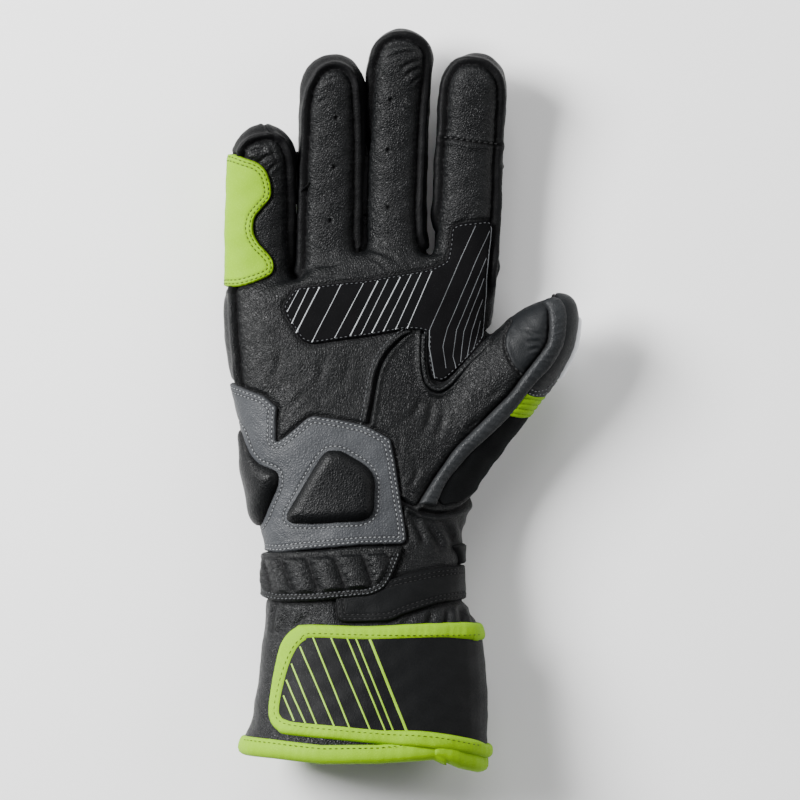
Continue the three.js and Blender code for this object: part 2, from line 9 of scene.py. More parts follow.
import bpy
import numpy as np
import openvdb
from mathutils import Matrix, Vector


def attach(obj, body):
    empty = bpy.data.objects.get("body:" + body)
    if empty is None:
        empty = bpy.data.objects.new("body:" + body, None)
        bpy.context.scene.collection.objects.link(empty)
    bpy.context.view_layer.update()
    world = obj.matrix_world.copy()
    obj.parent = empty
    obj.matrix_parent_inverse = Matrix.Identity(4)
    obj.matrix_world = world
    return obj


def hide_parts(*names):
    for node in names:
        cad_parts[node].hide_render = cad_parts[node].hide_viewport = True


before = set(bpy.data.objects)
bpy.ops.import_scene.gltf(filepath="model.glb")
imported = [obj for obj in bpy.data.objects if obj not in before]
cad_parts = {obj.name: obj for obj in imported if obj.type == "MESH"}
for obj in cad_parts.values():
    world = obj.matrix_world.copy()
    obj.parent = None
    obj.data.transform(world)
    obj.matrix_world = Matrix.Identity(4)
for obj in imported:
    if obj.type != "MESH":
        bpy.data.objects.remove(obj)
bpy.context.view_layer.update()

# %% [markdown]
# ## The form of the hand
#
# A glove without a hand in it keeps a stuffed shape: an oval tube for the hand, wrist and cuff,
# four tubes for the fingers and one for the thumb, flattened where the back of the hand rests.
# Lofting each tube alone leaves hard creases where they meet. Written as formulas of how far a
# point is from each tube, they can be joined with a soft blend, which is how leather bridges from
# one finger to the next. All lengths here are in millimetres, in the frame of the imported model.

# %% Sections of the body, fingers and thumb
PALM_WIDTH, PALM_LENGTH, PALM_THICKNESS = 110.0, 122.0, 42.0
WRIST_WIDTH, WRIST_THICKNESS = 80.0, 45.0
CUFF_WIDTH, CUFF_LENGTH, CUFF_THICKNESS = 100.0, 84.0, 60.0
WRIST_LINE = -0.508 * PALM_LENGTH
BODY_ROWS = [
    # zone, along, left, right, bottom, top, roundness
    ("cuff", 1.06, -0.645, 0.333, 0.033, 1.0, 2.2),
    ("cuff", 0.881, -0.622, 0.333, 0.037, 0.975, 2.2),
    ("cuff", 0.76, -0.59, 0.335, 0.045, 0.945, 2.2),
    ("cuff", 0.55, -0.562, 0.33, 0.055, 0.885, 2.2),
    ("cuff", 0.319, -0.54, 0.306, 0.07, 0.82, 2.2),
    ("wrist", 0.2, -0.67, 0.31, 0.1, 1.06, 2.2),
    ("wrist", -0.033, -0.665, 0.305, 0.07, 0.99, 2.2),
    ("wrist", -0.129, -0.685, 0.318, 0.03, 0.96, 2.3),
    ("palm", -0.328, -0.512, 0.258, -0.03, 1.0, 2.4),
    ("palm", -0.164, -0.553, 0.25, -0.04, 0.97, 2.5),
    ("palm", 0.0, -0.596, 0.276, -0.04, 0.9, 2.5),
    ("palm", 0.164, -0.634, 0.313, -0.04, 0.84, 2.5),
    ("palm", 0.328, -0.645, 0.329, -0.04, 0.77, 2.5),
    ("palm", 0.452, -0.643, 0.345, -0.03, 0.665, 2.4),
    ("palm", 0.545, -0.64, 0.348, 0.03, 0.59, 2.3),
]
ZONES = {
    "palm": (PALM_WIDTH, PALM_THICKNESS),
    "wrist": (WRIST_WIDTH, WRIST_THICKNESS),
    "cuff": (CUFF_WIDTH, CUFF_THICKNESS),
}


def place_along(zone, share):
    """Palm rows count up from the origin, wrist and cuff rows down from the wrist line."""
    return share * PALM_LENGTH if zone == "palm" else WRIST_LINE - share * CUFF_LENGTH


BODY = np.array([
    [
        place_along(zone, along),
        (left + right) / 2 * ZONES[zone][0],
        (right - left) / 2 * ZONES[zone][0],
        (bottom + top) / 2 * ZONES[zone][1],
        (top - bottom) / 2 * ZONES[zone][1],
        roundness,
    ]
    for zone, along, left, right, bottom, top, roundness in BODY_ROWS
])

FINGER_THICKNESS, FINGER_ROOT_HEIGHT, TIP_RISE = 23.5, 14.5, 9.0
FINGERS = {
    # name: length and width in mm, root place in mm, lean of the tip
    "little": (61.2, 26.8, -0.509 * PALM_WIDTH, 0.403 * PALM_LENGTH, 0.035),
    "ring": (83.6, 26.6, -0.256 * PALM_WIDTH, 0.449 * PALM_LENGTH, 0.02),
    "middle": (88.4, 25.2, -0.016 * PALM_WIDTH, 0.492 * PALM_LENGTH, 0.025),
    "index": (80.4, 26.8, 0.242 * PALM_WIDTH, 0.479 * PALM_LENGTH, 0.05),
}
THUMB_LENGTH, THUMB_WIDTH, THUMB_THICKNESS, THUMB_BASE_HEIGHT = 83.6, 35.2, 32.0, 21.0
THUMB_BASE = np.array([0.145 * PALM_WIDTH, -0.213 * PALM_LENGTH])
THUMB_ALONG = np.array([0.48 * PALM_WIDTH, 0.531 * PALM_LENGTH])
THUMB_ALONG /= np.linalg.norm(THUMB_ALONG)
THUMB_ACROSS = np.array([THUMB_ALONG[1], -THUMB_ALONG[0]])
THUMB_ROWS = np.array([
    # along, shift, width, thickness as shares of the thumb
    [-0.2, -0.05, 0.86, 0.86],
    [0.0, -0.05, 0.99, 1.02],
    [0.25, -0.055, 0.98, 1.0],
    [0.5, -0.05, 0.92, 0.92],
    [0.7, -0.043, 0.853, 0.86],
    [1.0, -0.05, 0.762, 0.82],
])
WEB_LINE = np.array([[-78, 40], [-56, 44], [-40.8, 48.4], [-15.6, 59.2], [11.2, 57.6], [46, 55.1]], float)

# %% [markdown]
# ## How far a point is from a tube
#
# A tube could be built as a mesh of rings and then joined to its neighbours with booleans, which
# leaves sharp valleys and thin slivers. A formula for the distance needs no joining: the lower of
# two distances is both tubes at once, and rounding that choice gives the soft web of leather.

# %% Distance to each tube
def through(rows, at):
    """Smooth curves through the rows of a table whose first column is the place.
    Between two rows each value is a cubic whose slopes are the harmonic mean of the two
    neighbouring straight slopes, or zero at a turning point, so that nothing overshoots."""
    x, y = rows[:, 0], rows[:, 1:]
    step = np.diff(x)[:, None]
    straight = np.diff(y, axis=0) / step
    product = straight[:-1] * straight[1:]
    total = straight[:-1] + straight[1:]
    inner = np.where(product > 0, 2 * product / np.where(total == 0, 1, total), 0)
    slope = np.vstack([straight[:1], inner, straight[-1:]])
    i = np.clip(np.searchsorted(x, at) - 1, 0, len(x) - 2)
    t = np.clip((at - x[i]) / step[i, 0], 0, 1)[..., None]
    h = step[i]
    return (
        y[i] * (1 + 2 * t) * (1 - t) ** 2
        + slope[i] * h * t * (1 - t) ** 2
        + y[i + 1] * t * t * (3 - 2 * t)
        + slope[i + 1] * h * t * t * (t - 1)
    )


def tube(across, up, half_width, half_height, roundness, past_end, cap):
    """Distance to an oval tube with a round end: the oval number says how many times further out
    than the skin a point lies, |a/w|^n + |u/h|^n to the power 1/n, and past the shoulder of the end
    the share of the cap joins in as a third axis. Distance is radius minus radius / number."""
    powers = np.abs(across / half_width) ** roundness + np.abs(up / half_height) ** roundness
    oval = powers ** (1 / roundness)
    number = np.sqrt(oval**2 + (past_end / cap) ** 2)
    radius = np.sqrt(across**2 + up**2 + past_end**2)
    return radius - radius / np.maximum(number, 1e-4)


def soft_low(a, b, reach):
    """The lower of two distances, rounded where they are within reach of each other."""
    near = np.maximum(reach - np.abs(a - b), 0) / reach
    return np.minimum(a, b) - near**3 * reach / 6


WEB_REACH, CREVICE_REACH, THUMB_REACH, FLOOR_REACH = 7.0, 1.2, 9.0, 5.0
TIP_SHOULDER, THUMB_SHOULDER = 0.55, 0.37
FINGER_ROUNDNESS, THUMB_ROUNDNESS = 2.3, 2.2


def body_distance(x, y, z):
    """Distance to the tube of hand, wrist and cuff, cut off softly where the fingers start."""
    centre, half_width, middle, half_height, roundness = np.moveaxis(through(BODY, y), -1, 0)
    side = tube(x - centre, z - middle, half_width, half_height, roundness, 0.0, 1.0)
    past_web = y - np.interp(x, WEB_LINE[:, 0], WEB_LINE[:, 1])
    return -soft_low(-side, -past_web, WEB_REACH)


def finger_distance(name, x, y, z):
    """Distance to a finger: its middle leans sideways by the square of the share along it, and
    rises by the share to the power 1.5."""
    length, width, root_x, root_y, lean = FINGERS[name]
    share = (y - root_y) / length
    middle = root_x + lean * length * np.maximum(share, 0) ** 2
    cap = TIP_SHOULDER * width
    past = np.maximum((share - 1) * length + cap, 0) + np.maximum(-0.04 - share, 0) * length
    up = z - FINGER_ROOT_HEIGHT - TIP_RISE * np.maximum(share, 0) ** 1.5
    thick = FINGER_THICKNESS * (1 - 0.06 * np.clip(share, 0, 1))
    return tube(x - middle, up, width / 2, thick / 2, FINGER_ROUNDNESS, past, cap)


def thumb_place(x, y):
    """Share along the thumb and distance across it."""
    dx, dy = x - THUMB_BASE[0], y - THUMB_BASE[1]
    along = (dx * THUMB_ALONG[0] + dy * THUMB_ALONG[1]) / THUMB_LENGTH
    return along, dx * THUMB_ACROSS[0] + dy * THUMB_ACROSS[1]


def thumb_distance(x, y, z):
    """Distance to the thumb: an oval tube along its own direction in plan, sized by its table."""
    along, across = thumb_place(x, y)
    shift, width, thick = np.moveaxis(through(THUMB_ROWS, np.clip(along, -0.2, 1)), -1, 0)
    cap = THUMB_SHOULDER * THUMB_LENGTH
    past_root = np.maximum(-0.05 - along, 0) * THUMB_LENGTH * 1.6
    past = np.maximum((along - 1.0) * THUMB_LENGTH + cap, 0) + past_root
    up = z - THUMB_BASE_HEIGHT - TIP_RISE * np.maximum(along, 0) ** 1.5
    half_width, half_height = width * THUMB_WIDTH / 2, thick * THUMB_THICKNESS / 2
    return tube(across - shift * THUMB_WIDTH, up, half_width, half_height, THUMB_ROUNDNESS, past, cap)


def hand_distance(points):
    """Distance from the skin of the whole glove, below zero inside: the tubes blended, then cut flat
    at z = 0."""
    x, y, z = np.moveaxis(points, -1, 0)
    fingers = finger_distance("little", x, y, z)
    for name in ("ring", "middle", "index"):
        fingers = soft_low(fingers, finger_distance(name, x, y, z), CREVICE_REACH)
    whole = soft_low(body_distance(x, y, z), fingers, WEB_REACH)
    whole = soft_low(whole, thumb_distance(x, y, z), THUMB_REACH)
    return -soft_low(-whole, z, FLOOR_REACH)


def slope_of(field, points, step=0.05):
    """Gradient of a distance field, by the difference across a small step along each axis."""
    shifts = np.eye(3) * step
    return np.stack([(field(points + s) - field(points - s)) / (2 * step) for s in shifts], axis=-1)


def onto_skin(points, rounds=3):
    """Moves points onto the skin: each step goes down the slope by distance over slope squared."""
    for _ in range(rounds):
        slope = slope_of(hand_distance, points)
        size = np.maximum((slope**2).sum(-1), 1e-6)
        points = points - slope * (hand_distance(points) / size)[..., None]
    slope = slope_of(hand_distance, points)
    return points, slope / np.linalg.norm(slope, axis=-1, keepdims=True)


# %% [markdown]
# ## One net over the whole skin
#
# The skin is where the distance is zero. A regular block of sample points finds it, a volume grid
# turns the sign change into four-sided faces, and the formula pulls every corner exactly onto the
# skin. The palm side is what is seen closest, so its faces are split once more and pulled again.

# %% Net of the skin
PITCH = 1.0
NET_LOW = np.array([-76.0, -156.0, -4.0])
NET_HIGH = np.array([78.0, 154.0, 66.0])


def skin_net():
    """Samples the distance on a block of points and reads the faces where it changes sign."""
    axes = [np.arange(low, high, PITCH) for low, high in zip(NET_LOW, NET_HIGH)]
    block = np.stack(np.meshgrid(*axes, indexing="ij"), axis=-1)
    grid = openvdb.FloatGrid(PITCH * 3)
    grid.copyFromArray(np.clip(hand_distance(block), -PITCH * 3, PITCH * 3).astype(np.float32))
    corners, quads = grid.convertToQuads(isovalue=0.0)
    points, normals = onto_skin(corners.astype(float) * PITCH + NET_LOW)
    return points, normals, quads.astype(int)


def split_quads(points, quads):
    """Every four-sided face becomes four: a new point at the middle of each edge and of each face."""
    edges = np.sort(np.stack([quads, np.roll(quads, -1, axis=1)], axis=-1).reshape(-1, 2), axis=1)
    pairs, which = np.unique(edges, axis=0, return_inverse=True)
    which = which.reshape(quads.shape) + len(points)
    middle = np.arange(len(quads)) + len(points) + len(pairs)
    fine = np.vstack([points, points[pairs].mean(1), points[quads].mean(1)])
    faces = [
        np.stack([quads[:, k], which[:, k], middle, which[:, (k + 3) % 4]], axis=1) for k in range(4)
    ]
    return fine, np.concatenate(faces)


net_points, net_normals, net_quads = skin_net()
print("net", len(net_points), "points", len(net_quads), "faces")
print("skin box, mm", net_points.min(0).round(1), net_points.max(0).round(1))

# %% [markdown]
# ## Outlines and lines on the glove
#
# Everything sewn on a glove is cut to an outline and sewn along a line. Both are drawn here in
# plan, as seen from above, by a few points in millimetres. An outline's corners are rounded, a
# line is a smooth curve, and one function says how far any point is from either of them. A seam's
# groove, a rolled rim, a patch's edge and a stitch row are all shapes of that one distance.

# %% Rounded outlines, smooth lines and the distance to them
def rounded(points, radius=1.6, steps=4):
    """Closed outline whose corners are cut short by the radius and joined by a curve:
    (1-t)^2 times the point before, 2t(1-t) times the corner and t^2 times the point after."""
    corner = np.asarray(points, float)
    to_last, to_next = np.roll(corner, 1, axis=0) - corner, np.roll(corner, -1, axis=0) - corner
    far_last = np.linalg.norm(to_last, axis=1, keepdims=True)
    far_next = np.linalg.norm(to_next, axis=1, keepdims=True)
    start = corner + to_last * np.minimum(radius / far_last, 0.45)
    end = corner + to_next * np.minimum(radius / far_next, 0.45)
    t = np.linspace(0, 1, steps)[None, :, None]
    curve = start[:, None] * (1 - t) ** 2 + corner[:, None] * 2 * t * (1 - t) + end[:, None] * t**2
    return curve.reshape(-1, corner.shape[1])


def even_line(points, step):
    """The same line, with a point at every even step of its length."""
    length = np.concatenate([[0], np.cumsum(np.linalg.norm(np.diff(points, axis=0), axis=1))])
    count = max(int(round(length[-1] / step)), 2) + 1
    at = np.linspace(0, length[-1], count)
    return np.stack([np.interp(at, length, points[:, k]) for k in range(points.shape[1])], axis=1)


def spline(points, count=12):
    """Open curve through all points: on each stretch the cubic whose slopes at its two ends are
    half the way between their neighbours."""
    p = np.asarray(points, float)
    ends = np.vstack([2 * p[0] - p[1], p, 2 * p[-1] - p[-2]])
    a, b, c, d = ends[:-3, None], ends[1:-2, None], ends[2:-1, None], ends[3:, None]
    t = np.linspace(0, 1, count, endpoint=False)[None, :, None]
    square, cube = 2 * a - 5 * b + 4 * c - d, 3 * b - a - 3 * c + d
    curve = 0.5 * (2 * b + (c - a) * t + square * t**2 + cube * t**3)
    return np.vstack([curve.reshape(-1, p.shape[1]), p[-1:]])


def smooth_line(points, step=0.5):
    """A smooth curve through a few points, with a point at every even step."""
    return even_line(spline(points), step)


def two_edges(first, second, step=0.6):
    """Two curves given by as many points each, with their points side by side all along, so that a
    strip between them turns corners without leaning."""
    both = even_line(np.hstack([spline(first), spline(second)]), step * 1.4)
    half = both.shape[1] // 2
    return both[:, :half], both[:, half:]


FAR = 14.0


def plan_distance(line, points, closed=True):
    """Distance in plan to a line, and the length along it of the nearest place. It is above zero
    inside a closed outline, or on the left of an open line, and stops counting at FAR."""
    line = np.asarray(line, float)[:, :2]
    start, end = (line, np.roll(line, -1, axis=0)) if closed else (line[:-1], line[1:])
    run = end - start
    size = np.maximum((run**2).sum(1), 1e-9)
    place = np.concatenate([[0], np.cumsum(np.sqrt(size))])[:-1]
    distance, along = np.full(len(points), -FAR), np.zeros(len(points))
    low, high = line.min(0) - FAR, line.max(0) + FAR
    near = np.flatnonzero(((points[:, :2] > low) & (points[:, :2] < high)).all(1))
    for part in np.array_split(near, max(len(near) // 6000, 1)):
        gap = points[part, None, :2] - start
        share = np.clip((gap * run).sum(2) / size, 0, 1)
        apart = ((gap - share[..., None] * run) ** 2).sum(2)
        best = apart.argmin(1)
        rows = np.arange(len(part))
        if closed:
            x, y = points[part, None, 0], points[part, None, 1]
            rise = np.where(np.abs(run[:, 1]) < 1e-9, 1e-9, run[:, 1])
            crossed = (start[:, 1] > y) != (end[:, 1] > y)
            side = crossed & (x < start[:, 0] + (y - start[:, 1]) * run[:, 0] / rise)
            sign = np.where(side.sum(1) % 2 == 1, 1, -1)
        else:
            turn = run[best, 0] * gap[rows, best, 1] - run[best, 1] * gap[rows, best, 0]
            sign = np.where(turn >= 0, 1, -1)
        distance[part] = sign * np.minimum(np.sqrt(apart[rows, best]), FAR)
        along[part] = place[best] + share[rows, best] * np.sqrt(size[best])
    return distance, along


def fade(value, start, end):
    """Goes smoothly from 0 at start to 1 at end."""
    t = np.clip((value - start) / (end - start), 0, 1)
    return t * t * (3 - 2 * t)


def bell(value, width):
    """1 at zero, falling off to both sides: e to the power -(value / width) squared."""
    return np.exp(-((value / width) ** 2))


# %% [markdown]
# ## The palm seam
#
# The palm leather is one sheet with four finger fronts, sewn all round to the back of the glove.
# The seam is the line that shapes the whole picture: the palm sinks towards it and the back
# leather stands up beside it as a rolled rim. It is one closed outline, read from the photo, and
# its relief is a sum of bells of the distance to it.

# %% The seam round the palm leather
PALM_SEAM = rounded([
    (-62.8, 99.2), (-60.6, 102.0), (-56.8, 103.8), (-50.6, 104.2), (-47.4, 102.4), (-45.2, 96.0),
    (-44.5, 80.6), (-44.6, 66.4), (-43.8, 54.0), (-42.2, 49.4), (-40.4, 49.4), (-39.0, 53.0),
    (-38.1, 73.6), (-37.7, 87.7), (-37.0, 102.0), (-36.4, 116.4), (-34.8, 124.4), (-31.0, 130.8),
    (-26.4, 132.8), (-22.0, 131.6), (-19.0, 127.0), (-17.9, 112.0), (-17.8, 96.0), (-18.0, 80.0),
    (-18.2, 66.0), (-17.8, 60.6), (-16.4, 59.6), (-15.0, 61.0), (-14.5, 65.8), (-14.7, 79.2),
    (-13.9, 97.4), (-12.1, 115.6), (-10.9, 131.4), (-7.9, 141.1), (-3.6, 144.2), (1.2, 144.8),
    (6.1, 143.5), (9.6, 140.4), (10.6, 137.0), (9.8, 130.8), (8.5, 118.0), (7.6, 104.6),
    (7.3, 91.3), (6.7, 79.2), (7.0, 65.8), (8.4, 61.2), (10.4, 59.2), (12.0, 60.4),
    (13.6, 67.2), (15.8, 79.2), (16.7, 97.4), (17.6, 104.8), (18.2, 121.6), (19.4, 128.9),
    (22.5, 133.6), (27.4, 134.6), (33.4, 133.8), (37.2, 130.8), (39.4, 126.0), (39.6, 118.0),
    (38.6, 103.4), (38.0, 91.3), (37.4, 73.2), (36.8, 64.0), (35.6, 49.6), (34.4, 36.0),
    (34.2, 26.0), (44.0, 44.0), (60.0, 46.0), (59.4, 34.8), (59.5, 29.0), (59.1, 23.5),
    (57.0, 19.8), (53.3, 14.9), (49.0, 9.4), (44.1, 2.7), (36.8, -4.7), (29.4, -12.0),
    (22.0, -19.4), (17.2, -26.1), (12.2, -33.5), (6.4, -43.0), (1.4, -40.6), (-0.5, -52.0),
    (-52.0, -52.0), (-58.0, -20.0), (-63.8, 7.6), (-65.2, 24.0), (-66.2, 42.0), (-66.0, 80.0),
], radius=2.4)
RIM_START_HEIGHT, RIM_FULL_HEIGHT = 9.0, 16.0


def seam_relief(points):
    """Where the palm leather is sewn in: it dips towards the seam, the seam is a narrow groove,
    and outside it the back leather is rolled up into a rim. Each is a bell of the distance."""
    distance, along = plan_distance(PALM_SEAM, points)
    top = fade(points[:, 2], RIM_START_HEIGHT, RIM_FULL_HEIGHT)
    inside = -0.85 * bell(np.maximum(distance, 0), 1.9)
    outside = 1.15 * bell(-distance - 1.5, 1.15) - 0.85 * bell(np.minimum(distance, 0), 0.7)
    pucker = 0.12 * np.sin(along * 2.1 + 1.3 * np.sin(along * 0.37)) * bell(distance - 1.2, 1.1)
    lift = np.where(distance > 0, inside, outside) - 0.9 * bell(distance, 0.42) + pucker
    # the second value is painted shade along the seam's groove
    return lift * top, bell(distance - 0.1, 0.62) * top


# %% [markdown]
# ## Grooves, rolls and creases
#
# Shorter seams and the folds that a worn glove keeps are listed as lines, each with a depth and a
# width. A crease starts and ends softly, and the leather beside it swells a little, because what
# sinks into the fold has to come from somewhere.

# %% Lines pressed into the leather
GROOVES = [
    # points, depth, width, swelling beside it, painted shade in the line
    ([(17.2, 104.3), (22.0, 103.8), (30.0, 102.6), (39.6, 101.8)], 0.7, 0.5, 0.3, 0.9),
    ([(-54.4, 110.6), (-52.4, 107.6), (-49.8, 104.4)], 0.4, 0.5, 0.3, 0.6),
    ([(0.4, -39.6), (6.7, -43.6), (15.3, -45.4), (24.5, -43.0), (31.0, -37.0)], 1.3, 0.8, 0.7, 1.0),
    ([(3.6, 27.6), (-1.0, 23.6), (-5.6, 18.0), (-9.0, 10.4), (-10.9, 0.0), (-12.4, -9.0)],
     1.3, 0.7, 0.6, 1.0),
    ([(9.2, 27.0), (9.0, 15.6), (10.4, 7.0), (14.8, 3.4), (19.6, 5.6), (26.0, 12.6), (34.4, 21.6)],
     1.2, 0.6, 1.0, 1.0),
    ([(44.2, 31.4), (42.2, 27.2), (41.5, 22.3), (42.5, 18.0), (44.7, 13.7), (47.8, 10.2)],
     0.6, 0.5, 0.3, 0.8),
    ([(41.4, 92.0), (40.6, 70.0), (39.4, 50.0), (36.6, 30.0)], 0.9, 0.7, 0.5, 0.7),
    ([(-50.6, -64.0), (-49.6, -78.0), (-50.8, -92.0)], 0.5, 0.7, 0.3, 0.5),
]
CREASES = [
    # x and y of both ends, bow to the side, depth, width
    (-36.6, 54.2, -21.6, 56.0, -1.2, 0.45, 0.9), (-35.8, 49.6, -22.2, 50.6, -0.8, 0.3, 0.8),
    (-14.0, 57.8, -3.0, 49.6, 1.2, 0.4, 0.9), (-13.0, 60.6, 3.0, 51.6, 1.6, 0.3, 0.9),
    (10.8, 57.4, 17.4, 58.6, 0.8, 0.3, 0.8), (11.4, 56.2, 18.0, 61.8, -0.8, 0.3, 0.7),
    (-9.8, 139.2, 7.6, 141.6, 1.4, 0.5, 0.8), (-6.0, 135.6, 9.0, 138.6, 1.2, 0.5, 0.8),
    (-1.0, 131.0, 9.4, 135.6, 1.0, 0.45, 0.7), (1.0, 127.8, 9.2, 132.6, 0.8, 0.4, 0.7),
    (3.4, 124.6, 8.8, 129.0, 0.6, 0.3, 0.6), (-12.0, 127.0, -7.6, 136.0, -0.8, 0.4, 0.8),
    (-32.6, 125.4, -24.0, 128.6, 0.8, 0.3, 0.8), (-33.6, 117.0, -28.0, 120.4, 0.6, 0.25, 0.7),
    (-62.0, 97.6, -52.0, 99.8, 1.2, 0.55, 0.8), (-58.6, 92.6, -48.0, 98.8, 1.0, 0.5, 0.8),
    (-54.2, 88.4, -46.6, 95.8, 0.8, 0.4, 0.7), (-51.6, 102.8, -47.2, 92.0, -0.8, 0.45, 0.7),
    (22.0, 100.4, 32.0, 98.6, -0.8, 0.22, 0.9), (20.0, 66.4, 30.0, 74.8, 0.6, 0.2, 0.9),
    (57.0, 25.8, 49.0, 28.6, 0.6, 0.35, 0.7), (56.6, 23.4, 49.6, 24.0, 0.6, 0.35, 0.7),
    (55.6, 21.6, 50.0, 19.6, 0.5, 0.3, 0.7), (40.4, 5.0, 33.2, 0.0, 0.8, 0.28, 1.0),
    (31.6, -6.0, 24.0, -13.0, 1.0, 0.3, 1.1), (13.2, 0.6, 7.0, -16.0, 1.4, 0.4, 1.3),
    (17.8, -2.0, 13.0, -18.0, 1.2, 0.35, 1.3), (9.0, 2.4, 1.4, -10.0, 1.2, 0.3, 1.2),
    (7.4, -26.0, 3.0, -36.0, 0.8, 0.4, 1.1), (-1.6, -12.0, -1.0, -24.0, 1.0, 0.3, 1.2),
    (-30.0, 18.6, -36.0, 2.0, 1.4, 0.28, 1.6), (-20.0, 20.6, -24.0, 4.0, 1.2, 0.24, 1.5),
    (-48.0, 22.0, -52.0, 6.0, 1.4, 0.26, 1.5), (-44.0, -4.0, -36.0, 4.0, 0.8, 0.3, 1.2),
    (4.0, -45.6, 10.0, -60.0, 1.2, 0.8, 1.3), (9.0, -47.4, 17.0, -63.0, 1.4, 0.8, 1.4),
    (16.6, -48.0, 22.4, -62.0, 1.0, 0.7, 1.3), (22.6, -46.6, 25.4, -58.0, 0.8, 0.6, 1.2),
    (6.0, -83.6, -2.0, -90.6, 1.0, 0.6, 1.4), (13.0, -82.4, 9.0, -92.4, 0.8, 0.8, 1.3),
    (18.8, -81.6, 17.6, -92.0, 0.6, 1.0, 1.2), (23.4, -80.8, 25.2, -91.6, 0.6, 1.0, 1.2),
    (27.2, -82.6, 29.8, -91.0, 0.4, 0.8, 1.0), (-44.0, -84.0, -52.0, -96.0, 1.4, 0.5, 1.6),
    (-36.0, -84.0, -47.0, -92.6, 1.0, 0.45, 1.4), (-58.0, -120.0, -61.0, -134.0, 0.8, 0.3, 1.6),
]


def line_relief(points):
    """Depth and painted shade of all the listed lines: each is a bell of the distance to its line,
    less at its ends, with two wider bells beside it that rise."""
    lift, painted_shade = np.zeros(len(points)), np.zeros(len(points))
    top = fade(points[:, 2], RIM_START_HEIGHT, RIM_FULL_HEIGHT)
    for rows, depth, width, swell, black in GROOVES:
        line = smooth_line(rows, 1.0)
        distance = plan_distance(line, points, closed=False)[0]
        swelling = swell * bell(np.abs(distance) - 1.6 * width - 0.5, 0.9)
        lift += top * (swelling - depth * bell(distance, width))
        # painted shade along each groove, and below along each crease
        painted_shade = np.maximum(painted_shade, black * top * bell(distance, width * 0.9))
    for x0, y0, x1, y1, bow, depth, width in CREASES:
        run = np.array([x1 - x0, y1 - y0])
        length = np.linalg.norm(run)
        middle = np.array([x0, y0]) + run / 2 + bow * np.array([-run[1], run[0]]) / length
        line = smooth_line([(x0, y0), tuple(middle), (x1, y1)], 1.2)
        distance, along = plan_distance(line, points, closed=False)
        ends = fade(along, 0, length * 0.35) * fade(-along, -length, -length * 0.6)
        beside_it = 0.55 * bell(np.abs(distance) - 1.9 * width, width)
        lift += top * ends * depth * (beside_it - bell(distance, width))
        painted_shade = np.maximum(painted_shade, 0.5 * depth * ends * top * bell(distance, width * 0.6))
    return lift, painted_shade


VENTS = np.array([
    (-25.4, 112.4), (-26.2, 92.8), (-27.8, 71.4), (-3.6, 119.6), (-4.8, 99.6), (-4.8, 76.8),
])


def vent_relief(points):
    """The small punched holes on the ring and middle finger: a narrow pit whose bottom is
    blackened with painted shade.
    """
    apart = np.sqrt(((points[:, None, :2] - VENTS) ** 2).sum(2)).min(1)
    top = fade(points[:, 2], RIM_START_HEIGHT, RIM_FULL_HEIGHT)
    hole = fade(-apart, -1.0, -0.4) * top
    return -1.1 * hole, hole


def soft_relief(points):
    """Slow, uneven swelling of stuffed leather: a few long waves that don't repeat together."""
    x, y, z = points.T
    return (
        0.22 * np.sin(0.21 * x + 0.13 * y + 0.4) * np.sin(0.17 * y - 0.19 * z)
        + 0.14 * np.sin(0.37 * x - 0.29 * y + 1.7) * np.cos(0.23 * z + 0.31 * y)
        + 0.06 * np.sin(0.83 * x + 0.61 * y) * np.sin(0.71 * y + 0.9 * z + 0.8)
    )


# %% [markdown]
# ## Materials
#
# Each finish is a small net of shader nodes. One class wraps a node's output as a number that can be
# added and multiplied, so that a material reads like the formula it is. The grain comes from cells
# of about a millimetre with a dark valley between them, as in printed leather.

# %% Shader numbers and nodes
class Number:
    """The output of a shader node, with plain arithmetic between such outputs and numbers."""

    def __init__(self, shader, socket):
        self.shader, self.socket = shader, socket

    def math(self, operation, first, second):
        """A math node between two values, one of which may be a plain number."""
        node = self.shader.node("ShaderNodeMath", {"operation": operation})
        self.shader.feed(node.inputs[0], first)
        self.shader.feed(node.inputs[1], second)
        return Number(self.shader, node.outputs[0])

    def __add__(self, other):
        return self.math("ADD", self, other)

    def __sub__(self, other):
        return self.math("SUBTRACT", self, other)

    def __mul__(self, other):
        return self.math("MULTIPLY", self, other)

    def __truediv__(self, other):
        return self.math("DIVIDE", self, other)

    def __pow__(self, other):
        return self.math("POWER", self, other)

    def __rsub__(self, other):
        return self.math("SUBTRACT", other, self)

    def __rtruediv__(self, other):
        return self.math("DIVIDE", other, self)

    __radd__ = __add__
    __rmul__ = __mul__

    def between(self, low, high):
        """0 at low, 1 at high, smooth between."""
        settings = {"interpolation_type": "SMOOTHSTEP"}
        node = self.shader.node("ShaderNodeMapRange", settings, **{"From Min": low, "From Max": high})
        self.shader.feed(node.inputs["Value"], self)
        return Number(self.shader, node.outputs["Result"])


